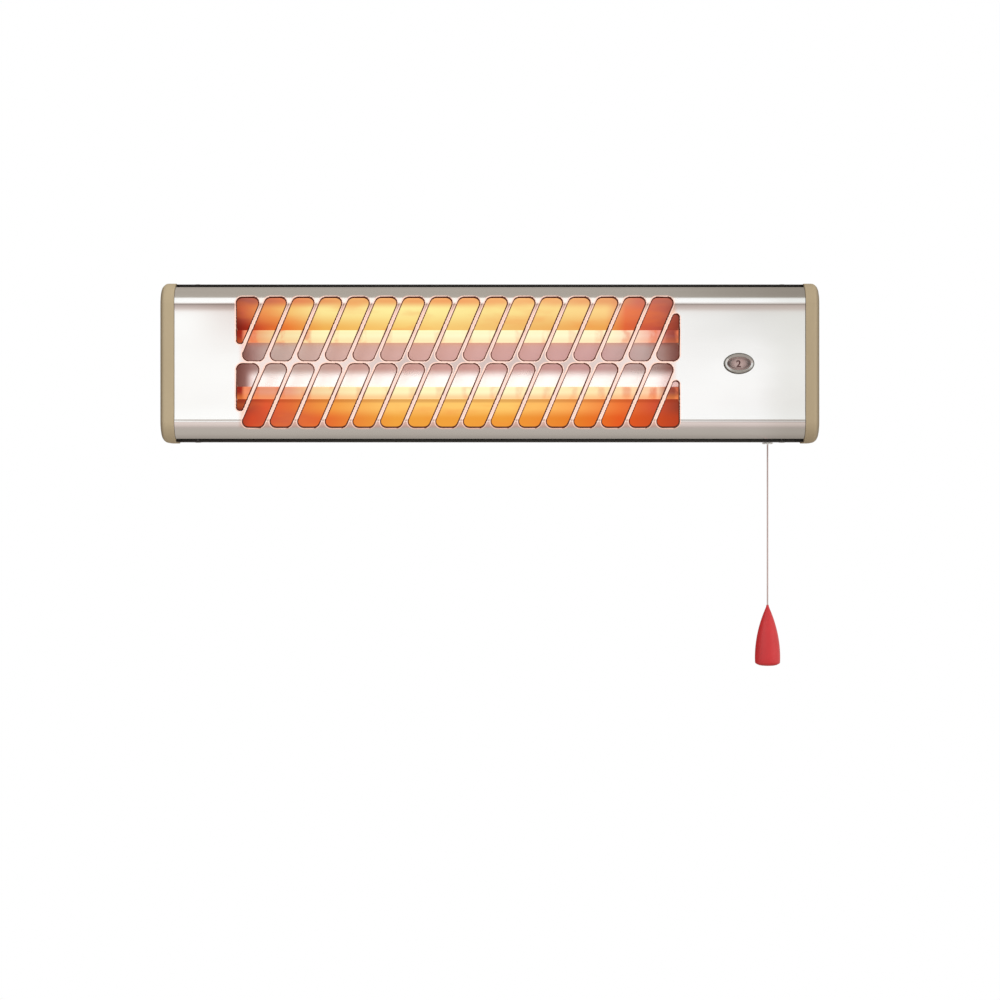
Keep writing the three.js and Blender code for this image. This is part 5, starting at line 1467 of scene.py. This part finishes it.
zinc_screw = bright_zinc()
panel_seats = []
for x in (-PANEL_SCREW_X, PANEL_SCREW_X):
    for up in (-1, 1):
        seat = (x, FRONT + PANEL_SCREW_DEPTH, up * (HOUSING_HALF + FIT))
        panel_seats.append((seat, (0, 0, up)))
panel_sizes = {
    "Head Radius": 0.0028, "Head Height": 0.0004, "Shank Radius": 0.0014, "Length": 0.0048,
}
panel_screws = screws("panel_screws", panel_seats, panel_sizes, zinc_screw)
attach(panel_screws, "heater")
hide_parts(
    "panel_screw_lower_left", "panel_screw_lower_right",
    "panel_screw_upper_left", "panel_screw_upper_right",
)

cap_seats = []
for side in (-1, 1):
    for up in (-1, 1):
        seat = (side * (CAP_END - CAP_WELL[1] + FIT), CAP_SCREW_Y, up * CAP_SCREW_Z)
        cap_seats.append((seat, (side, 0, 0)))
cap_sizes = {
    "Head Radius": 0.0036, "Head Height": 0.0022, "Shank Radius": 0.0018, "Length": 0.024,
}
cap_screws = screws("cap_screws", cap_seats, cap_sizes, zinc_screw)
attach(cap_screws, "heater")
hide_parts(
    "cap_screw_left_lower", "cap_screw_right_lower",
    "cap_screw_left_upper", "cap_screw_right_upper",
)

# ---------------------------------------------------------------- wall bracket and tilt
# A zinc-plated strip on the wall with an ear at each end. The lugs on the heater turn on rivets
# in the ears, and a hand screw through each ear holds the tilt.


def black_plastic():
    finish = Finish("black_plastic", {"Specular IOR Level": 0.5})
    grain = finish.noise(1500.0, 3.0)
    finish.set({
        "Base Color": finish.mix(grain, srgb(26, 25, 25), srgb(38, 37, 36)),
        "Roughness": 0.4 + grain * 0.2,
    })
    finish.bump(grain, 0.00004)
    return finish


coat(zinc_plate, "wall_bracket", "pivot_lug_left", "pivot_lug_right")
coat(zinc_screw, "pivot_rivet_left", "pivot_rivet_right")
dark_plastic = black_plastic()
LOCK_RADIUS = 0.007
LOCK_GRIP, LOCK_COLLAR = 0.009, 0.0025  # lengths
SHANK_RADIUS, COLLAR_RADIUS = 0.002, 0.0036
LOCK_FLUTES = 6
FLUTE_DEPTH = 0.0011


def fluted(radius, x, at, depth, count=96):
    """Points round a hand screw, which dip in at each flute."""
    points = []
    for i in range(count):
        angle = 2 * math.pi * i / count
        dip = depth * max(0.0, math.cos(LOCK_FLUTES * angle)) ** 2
        y = at[0] + (radius - dip) * math.cos(angle)
        points.append((x, y, at[1] + (radius - dip) * math.sin(angle)))
    return points


for name, side in (("left", -1), ("right", 1)):
    low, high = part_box(f"lock_knob_{name}")
    centre = ((low.y + high.y) / 2, (low.z + high.z) / 2)
    far = high.x if side > 0 else low.x
    near = low.x if side > 0 else high.x
    grip = far - side * LOCK_GRIP
    collar = grip - side * LOCK_COLLAR
    # Radius, place along the heater, and share of the flutes' depth.
    outline = (
        (SHANK_RADIUS, near, 0), (SHANK_RADIUS, collar, 0), (COLLAR_RADIUS, collar, 0),
        (COLLAR_RADIUS, grip, 0), (0.0064, grip, 0), (LOCK_RADIUS, grip + side * 0.0007, 0),
        (LOCK_RADIUS, grip + side * 0.0015, 0.6), (LOCK_RADIUS, grip + side * 0.0024, 1),
        (LOCK_RADIUS, far - side * 0.0012, 1), (LOCK_RADIUS - 0.0003, far - side * 0.0004, 1),
        (LOCK_RADIUS - 0.001, far, 0.8), (0.0042, far, 0), (0.0036, far - side * 0.0005, 0),
        (0.0008, far - side * 0.0007, 0),
    )
    rings = [fluted(radius, x, centre, FLUTE_DEPTH * share) for radius, x, share in outline]
    hand_screw = make_piece(f"hand_screw_{name}", loft(rings), dark_plastic)
    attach(hand_screw, f"{name}_lock")
    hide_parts(f"lock_knob_{name}")

# ---------------------------------------------------------------- switch and wiring
# Inside the right-hand end: a rotary pull switch on a folded stand, the cord's wheel and its
# return spring, the terminal block, the cable clamp and silicone-sleeved wires.


def plain_plastic(name, dark, light):
    finish = Finish(name, {"Roughness": 0.48})
    cloud = finish.noise(200.0, 3.0)
    finish.set({"Base Color": finish.mix(cloud, srgb(*dark), srgb(*light))})
    finish.bump(finish.noise(1600.0), 0.00004)
    return finish


white_plastic = plain_plastic("white_plastic", (204, 200, 192), (224, 220, 212))
rubber = plain_plastic("black_rubber", (24, 24, 24), (40, 39, 38))
sleeve = plain_plastic("silicone_sleeve", (150, 52, 40), (170, 66, 50))
pale_nylon = plain_plastic("pale_nylon", (238, 236, 230), (248, 246, 241))
coat(white_plastic, "cord_wheel", "terminal_block")
coat(pale_nylon, "cord_guide")
coat(dark_plastic, "switch_body")
coat(rubber, "cable_grommet")
coat(sleeve, "link_wire_left", "wire_neutral", "wire_live")
coat(sleeve, "wire_switch_upper", "wire_switch_lower")
coat(zinc_plate, "switch_stand", "cable_clamp")
coat(zinc_screw, "wheel_spring", "indicator_spindle")
coat(zinc_screw, "earth_stud", "clamp_screw_left", "clamp_screw_right")

# ---------------------------------------------------------------- floor and light
# A pale floor well below the heater, white all round, a broad soft light in front of it, and soft
# lamps to its right, to its left and above it.


def ray(nodes, kind):
    """1 where a ray of a kind arrives, and 0 for the others."""
    return nodes.node("ShaderNodeLightPath", output=f"Is {kind} Ray")


FLOOR_Z = -0.75
FLOOR_REACH = 1.1
RAYS = ("Camera", "Glossy", "Transmission")

floor_mesh = bpy.data.meshes.new("floor")
floor_corners = [(u * FLOOR_REACH, v * FLOOR_REACH, FLOOR_Z) for u, v in CORNERS]
floor_mesh.from_pydata(floor_corners, [], [(0, 1, 2, 3)])
floor = bpy.data.objects.new("floor", floor_mesh)
scene.collection.objects.link(floor)
floor_finish = Finish("pale_floor", {"Base Color": srgb(226, 222, 218), "Roughness": 0.8})
to_camera, to_metal, to_glass = (ray(floor_finish, kind) for kind in RAYS)
mirrored = floor_finish.ramp(floor_finish.axis(1) / 1.7 + 0.647, [
    (0.0, srgb(192, 180, 174)), (0.106, srgb(185, 173, 168)), (0.206, srgb(178, 168, 161)),
    (0.365, srgb(171, 162, 154)), (0.494, srgb(169, 160, 151)), (0.63, srgb(164, 155, 146)),
    (0.7, srgb(156, 146, 137)), (0.918, srgb(146, 138, 130)), (1.0, srgb(142, 134, 126)),
])
shade = floor_finish.mix(to_camera, mirrored, srgb(255, 255, 255))
glow = floor_finish.node("ShaderNodeEmission", {"Color": shade, "Strength": 1.0})
away = floor_finish.node(
    "ShaderNodeVectorMath", {0: floor_finish.place}, output="Value", operation="LENGTH"
).step(0.85, 1.25)
both = floor_finish.node("ShaderNodeMixShader", {
    0: (to_camera + to_metal + to_glass) * (0.86 + away * 0.14),
    1: Value(floor_finish, floor_finish.shader.outputs[0]),
    2: glow,
})
floor_finish.feed(floor_finish.tree.nodes["Material Output"].inputs["Surface"], both)
floor_mesh.materials.append(floor_finish.material)

world = bpy.data.worlds.new("studio")
world.use_nodes = True
scene.world = world
sky = Nodes(world.node_tree)
direction = sky.node("ShaderNodeTexCoord", output="Generated")
sideways, toward_back, upwards = (
    sky.node("ShaderNodeSeparateXYZ", {0: direction}, output=axis) for axis in (0, 1, 2)
)
greys = sky.ramp(upwards * 0.5 + 0.5, [
    (0.0, srgb(174, 163, 155)), (0.067, srgb(179, 170, 162)), (0.18, srgb(194, 181, 175)),
    (0.33, srgb(219, 204, 199)), (0.48, srgb(228, 214, 209)), (0.56, srgb(182, 173, 165)),
    (1.0, srgb(170, 162, 153)),
])
rear = sky.ramp(upwards * 0.5 + 0.5, [
    (0.0, srgb(168, 158, 149)), (0.3, srgb(140, 128, 120)), (0.6, srgb(150, 140, 132)),
    (1.0, srgb(172, 164, 155)),
])
around = sky.mix(toward_back.step(0.0, 0.25), greys, rear)
left_dark = sideways.step(-0.3, -0.5) * toward_back.step(-0.15, 0.2)
around = sky.mix(left_dark, around, srgb(74, 46, 30))
right_bright = sideways.step(0.35, 0.6) * toward_back.step(0.95, 0.75) * 0.8
around = sky.mix(right_bright, around, srgb(255, 250, 246))
softbox = upwards.step(-0.05, 0.0) * upwards.step(0.7, 0.64) * toward_back.step(-0.15, -0.4)
white = srgb(255, 255, 255)
studio = sky.mix(softbox, around, white)
to_camera, to_metal, to_glass = (ray(sky, kind) for kind in RAYS)
soft = sky.mix(to_metal + to_glass, srgb(225, 225, 225), studio)
shown = sky.mix(to_camera, soft, white)
background = sky.tree.nodes["Background"].inputs
sky.feed(background["Color"], shown)
sky.feed(background["Strength"], 1.0)


def lamp(name, place, size, power):
    """A square soft lamp that looks at the heater and isn't mirrored in its metal."""
    light = bpy.data.lights.new(name, "AREA")
    light.shape = "SQUARE"
    light.size = size
    light.energy = power
    lamp_object = bpy.data.objects.new(name, light)
    lamp_object.location = place
    lamp_object.rotation_euler = Vector(place).to_track_quat("Z", "Y").to_euler()
    lamp_object.visible_glossy = False
    scene.collection.objects.link(lamp_object)


lamp("right_lamp", (1.75, -1.05, 0.1), 1.3, 10)
lamp("left_lamp", (-1.6, -1.6, 0.9), 1.4, 9)
lamp("top_lamp", (0.2, -1.0, 1.9), 1.2, 8)

scene.view_settings.view_transform = "Standard"
